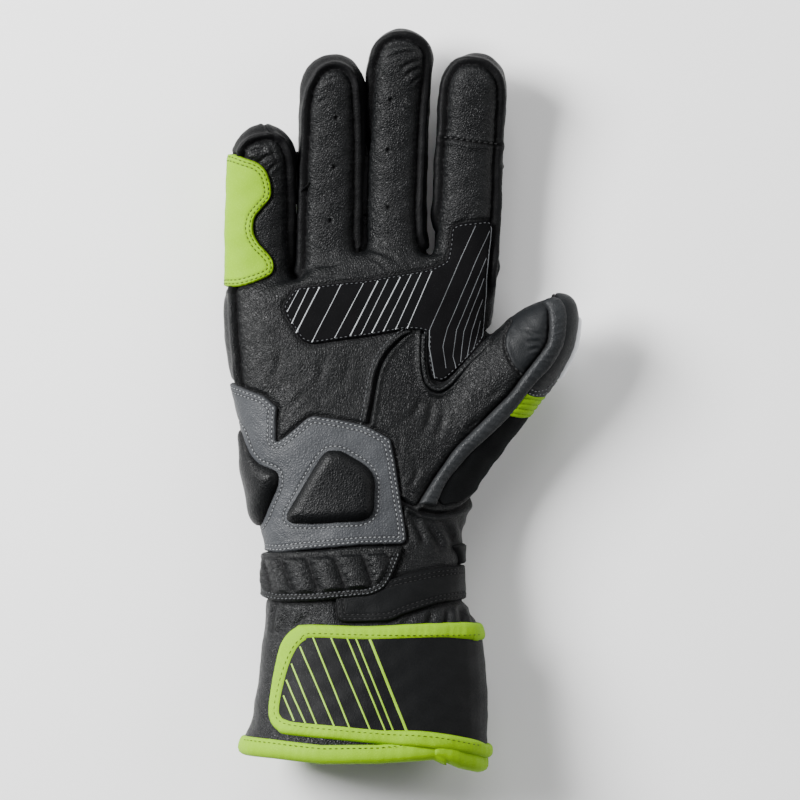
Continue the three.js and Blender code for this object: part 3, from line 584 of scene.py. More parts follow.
class Shader:
    """A material's node tree with its surface shader."""

    def __init__(self, name, **fixed):
        self.material = bpy.data.materials.new(name)
        self.material.use_nodes = True
        self.tree = self.material.node_tree
        self.surface = self.tree.nodes["Principled BSDF"]
        for socket, value in fixed.items():
            self.surface.inputs[socket.replace("_", " ")].default_value = value

    def feed(self, socket, value):
        """Links a socket to a node's output, or sets it to a plain value."""
        if isinstance(value, Number):
            self.tree.links.new(value.socket, socket)
        elif hasattr(value, "is_linked"):
            self.tree.links.new(value, socket)
        else:
            socket.default_value = value

    def node(self, kind, settings=None, **values):
        """A node of any kind, its settings first and then the values of its sockets."""
        made = self.tree.nodes.new(kind)
        for key, value in (settings or {}).items():
            setattr(made, key, value)
        for key, value in values.items():
            self.feed(made.inputs[key], value)
        return made

    def place(self, stretch=(1.0, 1.0, 1.0)):
        """The point's own place in the object, in metres, with each axis stretched."""
        at = self.node("ShaderNodeTexCoord").outputs["Object"]
        made = self.node("ShaderNodeVectorMath", {"operation": "MULTIPLY"})
        self.tree.links.new(at, made.inputs[0])
        made.inputs[1].default_value = stretch
        return made.outputs[0]

    def shifted(self, vector, other, amount):
        """The vector plus a little of a colour, which makes straight cells wander."""
        made = self.node("ShaderNodeVectorMath", {"operation": "MULTIPLY_ADD"})
        self.tree.links.new(other, made.inputs[0])
        made.inputs[1].default_value = (amount, amount, amount)
        self.tree.links.new(vector, made.inputs[2])
        return made.outputs[0]

    def noise(self, scale, detail=2.0, rough=0.5):
        """Soft noise between 0 and 1, in scale spots a metre."""
        made = self.node("ShaderNodeTexNoise", None, Scale=scale, Detail=detail, Roughness=rough)
        self.tree.links.new(self.place(), made.inputs["Vector"])
        return Number(self, made.outputs["Fac"])

    def wander(self, scale):
        """Noise as a colour, whose three parts shift a place to three sides."""
        made = self.node("ShaderNodeTexNoise", None, Scale=scale, Detail=1.0)
        self.tree.links.new(self.place(), made.inputs["Vector"])
        return made.outputs["Color"]

    def valley(self, scale, vector):
        """Distance to the nearest border between cells, in cells."""
        made = self.node("ShaderNodeTexVoronoi", {"feature": "DISTANCE_TO_EDGE"}, Scale=scale)
        self.tree.links.new(vector, made.inputs["Vector"])
        return Number(self, made.outputs["Distance"])

    def mark(self, name):
        """A value stored on each point of the mesh."""
        return Number(self, self.node("ShaderNodeAttribute", {"attribute_name": name}).outputs["Fac"])

    def mix(self, share, first, second):
        """The first colour times (1 - share) plus the second times share."""
        made = self.node("ShaderNodeMix", {"data_type": "RGBA"})
        self.feed(made.inputs[0], share)
        self.feed(made.inputs[6], first)
        self.feed(made.inputs[7], second)
        return made.outputs[2]

    def bump(self, height, depth, strength=1.0):
        """Tilts the surface by the slope of a height between 0 and 1, depth metres from low to high."""
        made = self.node("ShaderNodeBump", None, Strength=strength, Distance=depth)
        self.feed(made.inputs["Height"], height)
        self.feed(self.surface.inputs["Normal"], made.outputs["Normal"])


def shade(red, green, blue):
    """A colour given as it looks on screen, 0 to 255, turned into linear light."""
    parts = [v / 255 for v in (red, green, blue)]
    return tuple(v / 12.92 if v <= 0.04045 else ((v + 0.055) / 1.055) ** 2.4 for v in parts) + (1.0,)


# %% [markdown]
# ## The finishes
#
# Black leather has a printed grain, a soft sheen on the tops and dark valleys; suede has no sheen
# at all; knitted cloth shows small loops; fluorescent leather is coated and nearly smooth. A
# recipe with a few numbers makes each family, so that seven leathers differ only in colour, cell
# size, depth and sheen. Pictures of leather would repeat and would not fit a cut edge.

# %% Leather, suede, cloth, prints and threads
def leather(name, colour, light, rough=0.42, cell=1.0, depth=0.00016, shine=0.3):
    """Leather of rounded cells. cell is their size in mm. The valleys are darker and duller, and
    the tops are a little lighter where the leather is worn; the attribute of painted shade
    blackens seams, grooves, creases and edges."""
    made = Shader(name, Specular_IOR_Level=shine)
    place = made.shifted(made.place(), made.wander(420.0), 0.0009 * cell)
    small = made.valley(1000.0 / cell, place).between(0.0, 0.34)
    wide = made.valley(430.0 / cell, made.shifted(place, made.wander(160.0), 0.002)).between(0.0, 0.3)
    fine = made.noise(4200.0, 2.0)
    spread = made.noise(46.0, 3.0)
    height = small * 0.65 + wide * 0.3 + fine * 0.16
    painted_shade = made.mark("painted_shade")
    worn = (spread * 1.5 - 0.35) * (small * 0.5 + 0.5)
    base = made.mix(worn, colour, light)
    # painted shade: the seam, groove and edge mark mixes the colour towards near black
    made.feed(made.surface.inputs["Base Color"], made.mix(painted_shade * 0.93, base, shade(3, 3, 4)))
    roughness = rough + (1.0 - small) * 0.16 + painted_shade * 0.3 + (spread - 0.5) * 0.16
    made.feed(made.surface.inputs["Roughness"], roughness)
    made.bump(height, depth)
    return made.material


def suede():
    """Short nap: no shine, a fine speckle of lighter fibre ends, and lighter brushed patches."""
    made = Shader("suede", Roughness=0.96, Specular_IOR_Level=0.06)
    fibre = made.noise(2600.0, 3.0, 0.7)
    brushed = made.noise(90.0, 3.0)
    speck = fibre.between(0.56, 0.8)
    base = made.mix(brushed, shade(7, 7, 8), shade(13, 13, 14))
    base = made.mix(speck * 0.4, base, shade(44, 45, 47))
    # painted shade: the point mark blackens the suede along its edges and stitch rows
    made.feed(made.surface.inputs["Base Color"], made.mix(made.mark("painted_shade") * 0.9, base, shade(2, 2, 3)))
    made.bump(fibre, 0.0001, 0.7)
    return made.material


def stretch_cloth():
    """Fine black knit: rows of small raised loops crossing at right angles."""
    made = Shader("stretch_cloth", Roughness=0.88, Specular_IOR_Level=0.1)
    loops = made.valley(1500.0, made.place((1.0, 1.0, 0.6))).between(0.0, 0.4)
    spread = made.noise(60.0, 2.0)
    base = made.mix(spread * 0.6 + loops * 0.3, shade(6, 7, 8), shade(18, 19, 20))
    # painted shade: the point mark blackens the knit along its edges
    made.feed(made.surface.inputs["Base Color"], made.mix(made.mark("painted_shade") * 0.9, base, shade(2, 2, 3)))
    made.bump(loops, 0.00009, 0.8)
    return made.material


def fluo(name):
    """Fluorescent coated leather: nearly smooth, bright, with faint shallow grain, slightly darker
    grain valleys and patches, and painted shade from the mark along seams, valleys and edges.
    """
    made = Shader(name, Specular_IOR_Level=0.08)
    place = made.shifted(made.place(), made.wander(420.0), 0.0008)
    cells = made.valley(1100.0, place).between(0.0, 0.4)
    spread = made.noise(70.0, 2.0)
    base = made.mix(spread, shade(118, 162, 0), shade(130, 176, 0))
    base = made.mix((1.0 - cells) * 0.16, base, shade(82, 114, 0))
    # painted shade: the point mark takes the fluo towards a dark olive in seams and valleys
    made.feed(made.surface.inputs["Base Color"], made.mix(made.mark("painted_shade") * 0.8, base, shade(26, 33, 2)))
    made.feed(made.surface.inputs["Roughness"], 0.5 + (1.0 - cells) * 0.1)
    made.bump(cells, 0.00005, 0.6)
    return made.material


def plain(name, low, high, rough, scale=900.0, depth=0.00003):
    """Thread, print or smooth plastic: two near shades in small spots and a faint unevenness."""
    made = Shader(name, Roughness=rough, Specular_IOR_Level=0.4)
    spots = made.noise(scale, 2.0)
    made.feed(made.surface.inputs["Base Color"], made.mix(spots, low, high))
    made.bump(spots, depth, 0.6)
    return made.material


BLACK = leather("black_leather", shade(6, 7, 8), shade(15, 16, 17), 0.33, 0.85, 0.0002, 0.18)
# The back leather is a darker, duller copy of the black leather: partly painted shade for  the glove's
# sides and underside, which face away from the lamps.
BLACK_BACK = leather("black_back_leather", shade(6, 6, 7), shade(11, 12, 13), 0.4, 0.8, 0.0001, 0.11)
TIP_GREY = leather("tip_grey_leather", shade(15, 17, 19), shade(25, 27, 29), 0.42, 0.7, 0.00006, 0.18)
PAD_BLACK = leather("pad_leather", shade(5, 6, 7), shade(11, 12, 13), 0.34, 1.0, 0.00012, 0.15)
GREY = leather("grey_leather", shade(41, 43, 46), shade(61, 63, 66), 0.4, 1.0, 0.00013, 0.24)
TRIM_GREY = leather("trim_grey_leather", shade(24, 26, 28), shade(38, 40, 42), 0.38, 1.0, 0.00013, 0.22)
STRAP = leather("strap_leather", shade(5, 6, 7), shade(10, 11, 12), 0.44, 0.6, 0.00006, 0.12)
SUEDE = suede()
STRETCH = stretch_cloth()
FLUO = fluo("fluo_leather")
GUARD = plain("white_guard", shade(214, 216, 220), shade(234, 236, 240), 0.4)
PALE_THREAD = plain("pale_thread", shade(84, 86, 88), shade(122, 124, 126), 0.6, 3000.0)
GREY_THREAD = plain("grey_thread", shade(40, 42, 44), shade(78, 80, 82), 0.6, 3000.0)
DARK_THREAD = plain("dark_thread", shade(4, 4, 5), shade(12, 12, 13), 0.6, 3000.0)
OLIVE_THREAD = plain("olive_thread", shade(30, 38, 2), shade(48, 60, 4), 0.6, 3000.0)
SILVER = plain("silver_print", shade(92, 95, 98), shade(170, 174, 176), 0.42, 260.0)
SILVER_DIM = plain("worn_silver_print", shade(42, 44, 46), shade(96, 99, 102), 0.5, 260.0)
FLUO_PRINT = plain("fluo_print", shade(116, 158, 0), shade(128, 172, 0), 0.5)
LINING = plain("lining", shade(20, 20, 22), shade(34, 34, 36), 0.95, 1500.0, 0.0001)

# %% [markdown]
# ## Cutting pieces out of the net
#
# A piece is the part of the net inside a region, a function that is above zero inside it. Its
# ragged border is slid along the skin onto the region's edge, so a patch has a clean cut edge. The
# piece is then lifted along the skin's own direction by a height worked out from the distance to
# that edge: nothing at the edge, full thickness a little way in.

# %% Cut, lift and place
def compact(points, faces):
    """Only the points that the faces use, the faces renumbered, and which points they were."""
    used, faces_now = np.unique(faces, return_inverse=True)
    return points[used], faces_now.reshape(faces.shape), used


def border(faces):
    """The points on edges that only one face uses."""
    edges = np.sort(np.stack([faces, np.roll(faces, -1, axis=1)], axis=-1).reshape(-1, 2), axis=1)
    pairs, count = np.unique(edges, axis=0, return_counts=True)
    return np.unique(pairs[count == 1])


def cut(region, splits=1):
    """The net inside a region, split finer, its border slid down the region's slope by the region's
    value over the slope squared, which brings it onto the edge."""
    near = region(net_points)
    points, faces = compact(net_points, net_quads[near[net_quads].max(1) > -0.6 * PITCH])[:2]
    for _ in range(splits):
        points, faces = split_quads(points, faces)
    points = onto_skin(points, 2)[0]
    inside = region(points)
    points, faces = compact(points, faces[inside[faces].mean(1) > 0])[:2]
    rim = border(faces)
    moving = points[rim]
    for _ in range(3):
        slope = slope_of(region, moving)
        size = np.maximum((slope**2).sum(1), 0.3)
        moving = moving - slope * np.clip(region(moving) / size, -0.6, 0.6)[:, None]
        moving = onto_skin(moving, 1)[0]
    points[rim] = moving
    points, normals = onto_skin(points, 1)
    return points, normals, faces


def point_normals(points, faces):
    """The mean direction of the faces round each point, each weighed by its area."""
    corner = points[faces]
    across = np.cross(corner[:, 2] - corner[:, 0], corner[:, 3] - corner[:, 1])
    total = np.zeros_like(points)
    for k in range(4):
        np.add.at(total, faces[:, k], across)
    return total / np.maximum(np.linalg.norm(total, axis=1, keepdims=True), 1e-9)


def place(name, points, faces, material, stands_for=(), slot=None, painted_shade=None, directions=None):
    """Puts a mesh given in millimetres into the scene in metres. Points near the floor are kept
    on it. The mark of painted shade blackens points in seams, grooves, creases and along edges,
    and directions are the normals to shade with."""
    points = points.copy()
    points[:, 2] = np.maximum(points[:, 2], 0.02)
    name = f"{name}_sewn" if name in stands_for else name
    mesh = bpy.data.meshes.new(name)
    mesh.from_pydata((points / 1000).tolist(), [], faces.tolist())
    mesh.shade_smooth()
    if painted_shade is not None:
        # painted shade: a mark that blackens seams, grooves, creases and edges where shade falls
        mesh.attributes.new("painted_shade", "FLOAT", "POINT").data.foreach_set("value", painted_shade.astype(np.float32))
    if directions is not None:
        mesh.normals_split_custom_set_from_vertices(directions.tolist())
    mesh.materials.append(material)
    made = bpy.data.objects.new(name, mesh)
    bpy.context.collection.objects.link(made)
    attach(made, "root")
    if stands_for:
        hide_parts(*stands_for)
    return made


def within(outline, low=None, high=None):
    """Region inside an outline in plan, and between two heights: the least of the distances to
    the outline and to both heights."""
    def region(points):
        value = plan_distance(outline, points)[0]
        if low is not None:
            value = np.minimum(value, points[:, 2] - low)
        if high is not None:
            value = np.minimum(value, high - points[:, 2])
        return value
    return region


def edge_lift(inward, thick, radius=0.8, sink=0.35):
    """Height of a piece over its border: a quarter circle that starts a little below the skin."""
    share = np.clip(inward / radius, 0, 1)
    return -sink + (thick + sink) * np.sqrt(1 - (1 - share) ** 2)


def patch(name, region, thick, material, slot, radius=0.8, shape=None, splits=1, shadow=0.9):
    """A flat piece sewn on the skin, with painted shade of strength shadow along its own edge.
    shape(points) may give more height, and a mark of painted shade.
    """
    points, normals, faces = cut(region, splits)
    inward = region(points)
    lift = edge_lift(inward, thick, radius) + soft_relief(points)
    painted_shade = shadow * bell(inward, 0.35)
    if shape is not None:
        more, mark = shape(points, inward)
        lift, painted_shade = lift + more, np.maximum(painted_shade, mark)
    place(name, points + normals * lift[:, None], faces, material, (name,), slot, painted_shade)
    print(name, len(faces), "faces")


# %% [markdown]
# ## The cutting patterns
#
# A glove maker cuts every piece with a die, a steel outline. These tables are those dies, laid on
# the glove as the camera sees it. Where a piece runs on round the side, its outline simply goes
# on past the glove, and a lowest height says how far down the side it reaches.

# %% Outlines of the sewn pieces
LITTLE_PATCH = rounded([
    (-76.0, 98.4), (-66.4, 98.4), (-62.4, 96.6), (-57.6, 95.0), (-54.8, 93.2), (-53.0, 90.8),
    (-51.8, 87.2), (-51.2, 82.8), (-52.0, 80.0), (-54.8, 76.8), (-58.0, 73.2), (-58.8, 69.6),
    (-58.4, 66.0), (-56.4, 62.4), (-52.8, 58.8), (-50.8, 56.0), (-50.4, 53.2), (-50.8, 50.8),
    (-53.2, 49.0), (-57.6, 47.2), (-62.0, 45.8), (-65.2, 45.2), (-76.0, 45.6),
])
GRIP_BAND = rounded([
    (-41.6, 44.8), (-46.8, 37.6), (-45.2, 32.8), (-39.2, 23.6), (-35.2, 22.2), (-11.2, 25.6),
    (2.4, 28.0), (8.8, 27.6), (11.2, 26.4), (10.8, 15.6), (12.8, 8.4), (16.4, 7.2), (18.4, 8.0),
    (26.4, 15.4), (33.2, 22.8), (34.4, 37.2), (36.0, 58.6), (37.2, 69.0), (36.0, 72.0),
    (23.6, 70.6), (20.6, 69.0), (20.0, 62.0), (18.8, 55.6), (12.4, 52.4), (-14.8, 47.6),
])
HEEL_PATCH = rounded([
    (-76.0, 8.6), (-68.0, 7.4), (-61.4, 4.4), (-54.1, 1.7), (-48.8, -2.9), (-49.4, -7.2),
    (-49.4, -16.2), (-48.5, -16.5), (-45.5, -14.5), (-36.8, -7.2), (-34.2, -6.2), (-23.6, -7.9),
    (-14.3, -9.9), (-7.7, -13.2), (-3.7, -15.5), (-2.0, -23.8), (-0.4, -34.4), (1.6, -47.0),
    (2.6, -55.6), (1.3, -57.3), (-14.3, -57.6), (-37.5, -59.6), (-48.1, -61.0), (-54.8, -60.3),
    (-76.0, -57.0),
], radius=0.9)
CENTRE_PAD = rounded([
    (-28.9, -19.8), (-23.6, -19.8), (-14.3, -25.1), (-11.0, -28.4), (-9.6, -32.4), (-10.0, -43.7),
    (-11.6, -47.0), (-15.6, -48.7), (-34.2, -49.7), (-42.2, -49.7), (-44.8, -48.0),
    (-44.5, -45.0), (-36.8, -31.0), (-31.6, -22.5),
])
OUTER_PAD = rounded([
    (-64.4, -8.6), (-72.0, -8.0), (-74.0, -50.0), (-59.7, -49.4), (-57.1, -51.0), (-54.8, -50.7),
    (-52.1, -45.7), (-47.5, -33.8), (-47.5, -29.8), (-48.8, -27.8), (-55.4, -25.1),
    (-58.8, -21.2), (-61.4, -13.2),
])
RIBBED_PANEL = rounded([
    (-54.8, -60.6), (-37.5, -60.0), (-14.3, -58.2), (1.3, -57.8), (-0.4, -63.6), (-3.7, -71.6),
    (-6.3, -75.6), (-11.6, -78.2), (-34.2, -80.2), (-47.5, -80.5), (-54.1, -78.9), (-56.1, -75.6),
    (-56.8, -69.6), (-55.6, -61.0),
])
CHANNELS = [
    ((-52.8, -59.6), (-48.8, -78.2)), ((-47.5, -59.3), (-40.8, -77.9)), ((-37.5, -59.0), (-31.6, -76.9)),
    ((-27.6, -57.3), (-20.9, -76.2)), ((-16.3, -57.0), (-10.3, -74.9)), ((-7.0, -56.0), (-3.7, -65.6)),
]
WRIST_STRAP = rounded([
    (-26.0, -76.0), (-12.0, -73.0), (0.0, -70.0), (12.0, -67.4), (25.2, -65.6), (44.0, -64.5),
    (44.0, -79.0), (24.8, -79.6), (16.0, -80.8), (9.2, -82.8), (0.8, -85.6), (-4.0, -88.0),
    (-24.4, -88.4),
], radius=2.5)
CLOSURE_FLAP = rounded([
    (-37.5, -91.5), (28.9, -92.6), (44.0, -95.0), (44.0, -140.0), (34.8, -139.6), (28.9, -138.6),
    (15.6, -136.0), (-10.9, -133.0), (-42.1, -130.0), (-47.0, -129.0), (-49.0, -126.0),
    (-49.2, -121.0), (-47.4, -107.8), (-45.0, -98.6), (-42.0, -94.0),
], radius=3.0)
THUMB_INNER_EDGE = [
    (56.4, 38.8), (58.8, 35.8), (59.4, 30.8), (59.1, 23.5), (57.0, 19.8), (53.3, 14.9),
    (49.0, 9.4), (44.1, 2.7), (36.8, -4.7), (29.4, -12.0), (22.0, -19.4), (17.2, -26.1),
    (12.2, -33.5), (7.4, -41.4),
]
THUMB_OUTER_EDGE = [
    (62.4, 40.2), (64.9, 38.8), (66.5, 34.5), (65.8, 26.6), (64.3, 20.4), (60.0, 13.7),
    (55.1, 8.2), (49.6, 1.4), (44.1, -5.9), (36.8, -13.2), (29.4, -20.0), (22.7, -27.4),
    (17.8, -34.1), (14.3, -42.4),
]
SIDE_PANEL = rounded([
    (61.4, 42.0), (63.6, 37.0), (64.6, 33.0), (64.0, 26.6), (62.6, 21.2), (58.6, 14.9),
    (53.8, 9.4), (49.4, 3.4), (50.2, 1.4), (53.3, 0.5), (57.6, 1.4), (61.2, 5.7), (72.0, 8.0),
    (84.0, 30.0), (76.0, 46.0),
], radius=1.0)
ACCORDION = rounded([
    (50.6, 5.0), (46.6, -0.6), (41.6, -5.4), (43.2, -6.5), (47.8, -7.1), (52.1, -6.5), (57.0, -9.0),
    (72.0, -4.0), (70.0, 12.0), (61.6, 7.4), (57.8, 3.2), (53.3, 2.3), (50.6, 3.2),
], radius=1.0)
STRETCH_PANEL = rounded([
    (44.4, -2.8), (36.0, -11.6), (28.4, -18.4), (21.6, -26.0), (16.4, -33.0), (14.0, -39.0),
    (17.0, -42.2), (24.5, -40.6), (31.0, -35.4), (44.0, -42.0), (72.0, -12.0), (57.0, -7.0),
    (52.1, -4.6), (47.8, -5.2),
], radius=1.0)
THUMB_GUARD = rounded([(54.0, 9.0), (54.0, 33.6), (80.0, 33.6), (80.0, 9.0)], radius=5.0)

PATCH_LINES = [
    # outline, groove depth beside it, strength of the painted shadow beside it
    (LITTLE_PATCH, 0.8, 0.9), (GRIP_BAND, 0.7, 0.9), (HEEL_PATCH, 0.9, 0.95), (RIBBED_PANEL, 0.6, 0.9),
    (WRIST_STRAP, 0.5, 0.9), (CLOSURE_FLAP, 0.3, 0.6),
]
HIDDEN = [GRIP_BAND, HEEL_PATCH, RIBBED_PANEL, WRIST_STRAP, CLOSURE_FLAP, LITTLE_PATCH]


def sewn_relief(points):
    """The skin is pressed in just outside every sewn piece, and under it, and painted shadow
    darkens it just outside each piece's edge.
    """
    lift, painted_shade = np.zeros(len(points)), np.zeros(len(points))
    for outline, depth, black in PATCH_LINES:
        distance = plan_distance(outline, points)[0]
        top = fade(points[:, 2], RIM_START_HEIGHT - 4, RIM_FULL_HEIGHT)
        lift -= top * (depth * bell(np.minimum(distance + 0.3, 0), 0.9) * (distance > -4))
        painted_shade = np.maximum(painted_shade, black * top * bell(np.minimum(distance, 0), 0.75))
    return lift, painted_shade


# %% [markdown]
# ## The leather shell
#
# The whole skin is worked on at once, so that grooves run on from one panel to the next, and is
# then dealt out to the panels by nearest tube, by the palm seam and by height. Below the open end
# of the cuff the net is left out.

# %% Palm, back, fingers, thumb and cuff
HEM = np.array([
    [-80, -136.8], [-64, -139.6], [-51, -140.4], [-31, -142.4], [-9, -142.0], [9, -140.3],
    [13.5, -139.8], [17, -141.3], [24.3, -144.6], [31.6, -146.5], [50, -147.7],
])
CUFF_LINE = -79.1


def hem_at(x):
    """Place along the glove of the cuff's open end, at a place across it."""
    return np.interp(x, HEM[:, 0], HEM[:, 1])


TOUCH_TIP = rounded([
    (44.1, 31.6), (42.3, 27.2), (41.6, 22.3), (42.6, 18.0), (44.7, 13.7), (47.8, 10.2),
    (66.0, 6.0), (66.0, 46.0), (48.0, 46.0),
])
PANELS = {
    # panel of the shell: its material
    "palm_panel": BLACK, "hand_back": BLACK_BACK, "cuff_front": BLACK, "cuff_back": BLACK_BACK,
    "little_back": BLACK_BACK, "ring_back": BLACK_BACK, "middle_back": BLACK_BACK,
    "index_back": BLACK_BACK, "little_front": BLACK, "ring_front": BLACK, "middle_front": BLACK,
    "index_front": BLACK, "index_touch_tip": BLACK, "thumb_back": BLACK_BACK, "thumb_front": BLACK,
    "thumb_touch_tip": TIP_GREY,
}
PANEL_NAMES = list(PANELS)


def panel_of(points):
    """The number of the panel that each point belongs to."""
    x, y, z = points.T
    order = ["body", "little", "ring", "middle", "index", "thumb"]
    fields = [body_distance(x, y, z)] + [finger_distance(name, x, y, z) for name in order[1:5]]
    nearest = np.argmin(np.stack(fields + [thumb_distance(x, y, z) + 0.4]), axis=0)
    palm_side = (plan_distance(PALM_SEAM, points)[0] > -0.1) & (z > 13)
    choice = np.where(z > 14.5, PANEL_NAMES.index("palm_panel"), PANEL_NAMES.index("hand_back"))
    cuff = np.where(z > 30, PANEL_NAMES.index("cuff_front"), PANEL_NAMES.index("cuff_back"))
    choice = np.where(y < CUFF_LINE, cuff, choice)
    for k, name in enumerate(order[1:5], start=1):
        front, back = PANEL_NAMES.index(f"{name}_front"), PANEL_NAMES.index(f"{name}_back")
        choice = np.where(nearest == k, np.where(palm_side, front, back), choice)
    tip = (choice == PANEL_NAMES.index("index_front")) & (y > 104.3 - 0.112 * (x - 17.6))
    choice = np.where(tip, PANEL_NAMES.index("index_touch_tip"), choice)
    front, back = PANEL_NAMES.index("thumb_front"), PANEL_NAMES.index("thumb_back")
    choice = np.where(nearest == 5, np.where(palm_side & (z > 25.5), front, back), choice)
    tip = (choice == PANEL_NAMES.index("thumb_front")) & (plan_distance(TOUCH_TIP, points)[0] > 0)
    return np.where(tip, PANEL_NAMES.index("thumb_touch_tip"), choice)


def build_shell():
    """Splits the seen side of the net, adds all reliefs, and deals the faces out to the panels. Each
    panel keeps the skin's directions of the whole, so the shading runs on over the cuts."""
    middle = net_points[net_quads].mean(1)
    facing = net_normals[net_quads].mean(1)[:, 2]
    hem = middle[:, 1] > hem_at(middle[:, 0]) + 0.4
    covered = np.max([plan_distance(line, middle)[0] for line in HIDDEN], axis=0) > 2.5
    covered |= (plan_distance(CLOSURE_FLAP, middle)[0] > -4) & (middle[:, 2] > 15)
    fine = hem & (middle[:, 2] > 8) & (facing > -0.25) & ~(covered & (middle[:, 2] > 16))
    owner = panel_of(middle)
    points, faces = compact(net_points, net_quads[fine])[:2]
    points, faces = split_quads(points, faces)
    points, normals = onto_skin(points, 2)
    owners = np.tile(owner[fine], 4)
    rest, rest_faces, used = compact(net_points, net_quads[hem & ~fine])
    sets = [(points, normals, faces, owners), (rest, net_normals[used], rest_faces, owner[hem & ~fine])]
    ready = []
    for points, normals, faces, owners in sets:
        lift, painted_shade = soft_relief(points), np.zeros(len(points))
        for relief in (seam_relief, line_relief, vent_relief, sewn_relief):
            more, mark = relief(points)
            lift, painted_shade = lift + more, np.maximum(painted_shade, mark)
        points = points + normals * lift[:, None]
        ready.append((points, point_normals(points, faces), faces, owners, painted_shade))
    for number, name in enumerate(PANEL_NAMES):
        parts, start = [], 0
        for points, normals, faces, owners, painted_shade in ready:
            own, own_faces, used = compact(points, faces[owners == number])
            parts.append((own, own_faces + start, painted_shade[used], normals[used]))
            start += len(own)
        points, faces, painted_shade, normals = (np.concatenate(part) for part in zip(*parts))
        made = place(name, points, faces, PANELS[name], (name,), None, painted_shade, normals)
        print(name, len(faces), "faces")


build_shell()

# %% [markdown]
# ## Patches
#
# Flat pieces first: the fluo guard on the little finger, the suede band, the grey heel patch, the
# panels of the thumb. The wrist panel is quilted, so it rises between its stitched channels and
# gathers along them.

# %% Patches and the quilted wrist panel
def stitch_lines(inward, *places, depth=0.22, black=0.8):
    """A sewn row pulls its piece down, and painted shade blackens the line of its needle holes:
    a narrow bell at each row.
    """
    rows = np.sum([bell(inward - place_now, 0.34) for place_now in places], axis=0)
    return -depth * rows, black * np.clip(rows, 0, 1)


def sewn_rows(*places, depth=0.22, black=0.8):
    """The same as a shape for a patch."""
    return lambda points, inward: stitch_lines(inward, *places, depth=depth, black=black)


def heel_rows(points, inward):
    """Two rows along the patch's edge, and one round each pad."""
    lift, painted_shade = stitch_lines(inward, 1.2, 2.8)
    for outline in (CENTRE_PAD, OUTER_PAD):
        more, mark = stitch_lines(-plan_distance(outline, points)[0], 1.3)
        lift, painted_shade = lift + more, np.maximum(painted_shade, mark)
    return lift, painted_shade


def quilting(points, inward):
    """Height of the quilted panel: it swells with the distance from the nearest channel, and is
    gathered into small folds that run away from it. Painted shade blackens each channel and the
    stitch rows along its edge."""
    away, along = np.full(len(points), FAR), np.zeros(len(points))
    for start, end in CHANNELS:
        distance, place_now = plan_distance(np.array([start, end]), points, closed=False)
        nearer = np.abs(distance) < away
        away, along = np.where(nearer, np.abs(distance), away), np.where(nearer, place_now, along)
    full = fade(inward, 2.6, 4.6)
    swell = 2.2 * np.sqrt(1 - np.exp(-((away / 2.6) ** 2))) * full
    folds = np.sin(along * 2.1 + 0.9 * np.sin(along * 0.7 + points[:, 0] * 0.5)) * bell(away - 1.3, 1.5)
    edge_folds = 0.12 * np.sin((points[:, 0] + points[:, 1]) * 1.9) * bell(inward - 3.2, 1.2)
    low = fade(-points[:, 1], 60.6, 62.4)
    rows, painted_shade = (low * part for part in stitch_lines(inward, 1.3, 2.8))
    return swell + 0.16 * folds * full + edge_folds + rows, np.maximum(0.95 * bell(away, 0.75) * full, painted_shade)


def thumb_folds(points, inward):
    """The stretch cloth slackens into shallow folds across the thumb near its root."""
    along, across = thumb_place(points[:, 0], points[:, 1])
    fold = np.sin(along * 46 + across * 0.22) * bell(along - 0.14, 0.14) * 0.28
    return fold * fade(inward, 0.5, 3), np.zeros(len(points))


def ridges(points, inward):
    """The fluo panel is sewn into ridges across the thumb: rounded tops with sharp valleys, which
    are blackened with painted shade.
    """
    turn = (points[:, 1] + 0.10 * (points[:, 0] - 50) + 7.4) / 2.1
    valley_now = np.abs(np.sin(np.pi * turn))
    return 0.55 * np.sqrt(valley_now) * fade(inward, 0, 1.2), 0.85 * (1 - fade(valley_now, 0, 0.3))


def side_creases(points, inward):
    """Faint slanting folds across the side panel, about two thirds up the thumb."""
    along = thumb_place(points[:, 0], points[:, 1])[0]
    crease = np.sin((points[:, 0] + 2.4 * points[:, 1]) * 0.75)
    return 0.14 * crease * bell(along - 0.62, 0.1), np.zeros(len(points))


patch("little_finger_patch", within(LITTLE_PATCH, 7.5), 1.1, FLUO, "fluo_leather", 0.6,
      sewn_rows(1.2, 2.7, black=0.35))
patch("grip_band", within(GRIP_BAND, 14), 0.8, SUEDE, "suede", 0.6, sewn_rows(0.9))
patch("heel_patch", within(HEEL_PATCH, 7.5), 1.2, GREY, "grey_leather", 0.8, heel_rows)
patch("wrist_strap", within(WRIST_STRAP, 2.5), 1.5, STRAP, "strap_leather", 0.8, sewn_rows(1.4, 3.0))
patch("ribbed_wrist_panel", within(RIBBED_PANEL, 15), 2.5, BLACK, "black_leather", 1.5, quilting)
patch("closure_flap", within(CLOSURE_FLAP, 15.2), 1.4, STRAP, "strap_leather", 0.8)
patch("thumb_side_panel", within(SIDE_PANEL, 23.5), 1.3, TIP_GREY, "grey_leather", 0.9, side_creases)
patch("thumb_accordion", within(ACCORDION, 8), 1.0, FLUO, "fluo_leather", 0.8, ridges)
patch("thumb_stretch_panel", within(STRETCH_PANEL, 7), 0.9, STRETCH, "stretch_fabric", 0.7, thumb_folds)
patch("thumb_guard", within(THUMB_GUARD, 10.2, 28.0), 3.1, GUARD, "white_guard", 2.4)

# %% [markdown]
# ## Pads
#
# The two palm pads are foam under leather. Each is cut like a patch and crowned, and then swells
# under pressure in a short cloth simulation, which pulls its sides in between the corners. How far
# a point may move is capped, and the border stays where it is sewn.

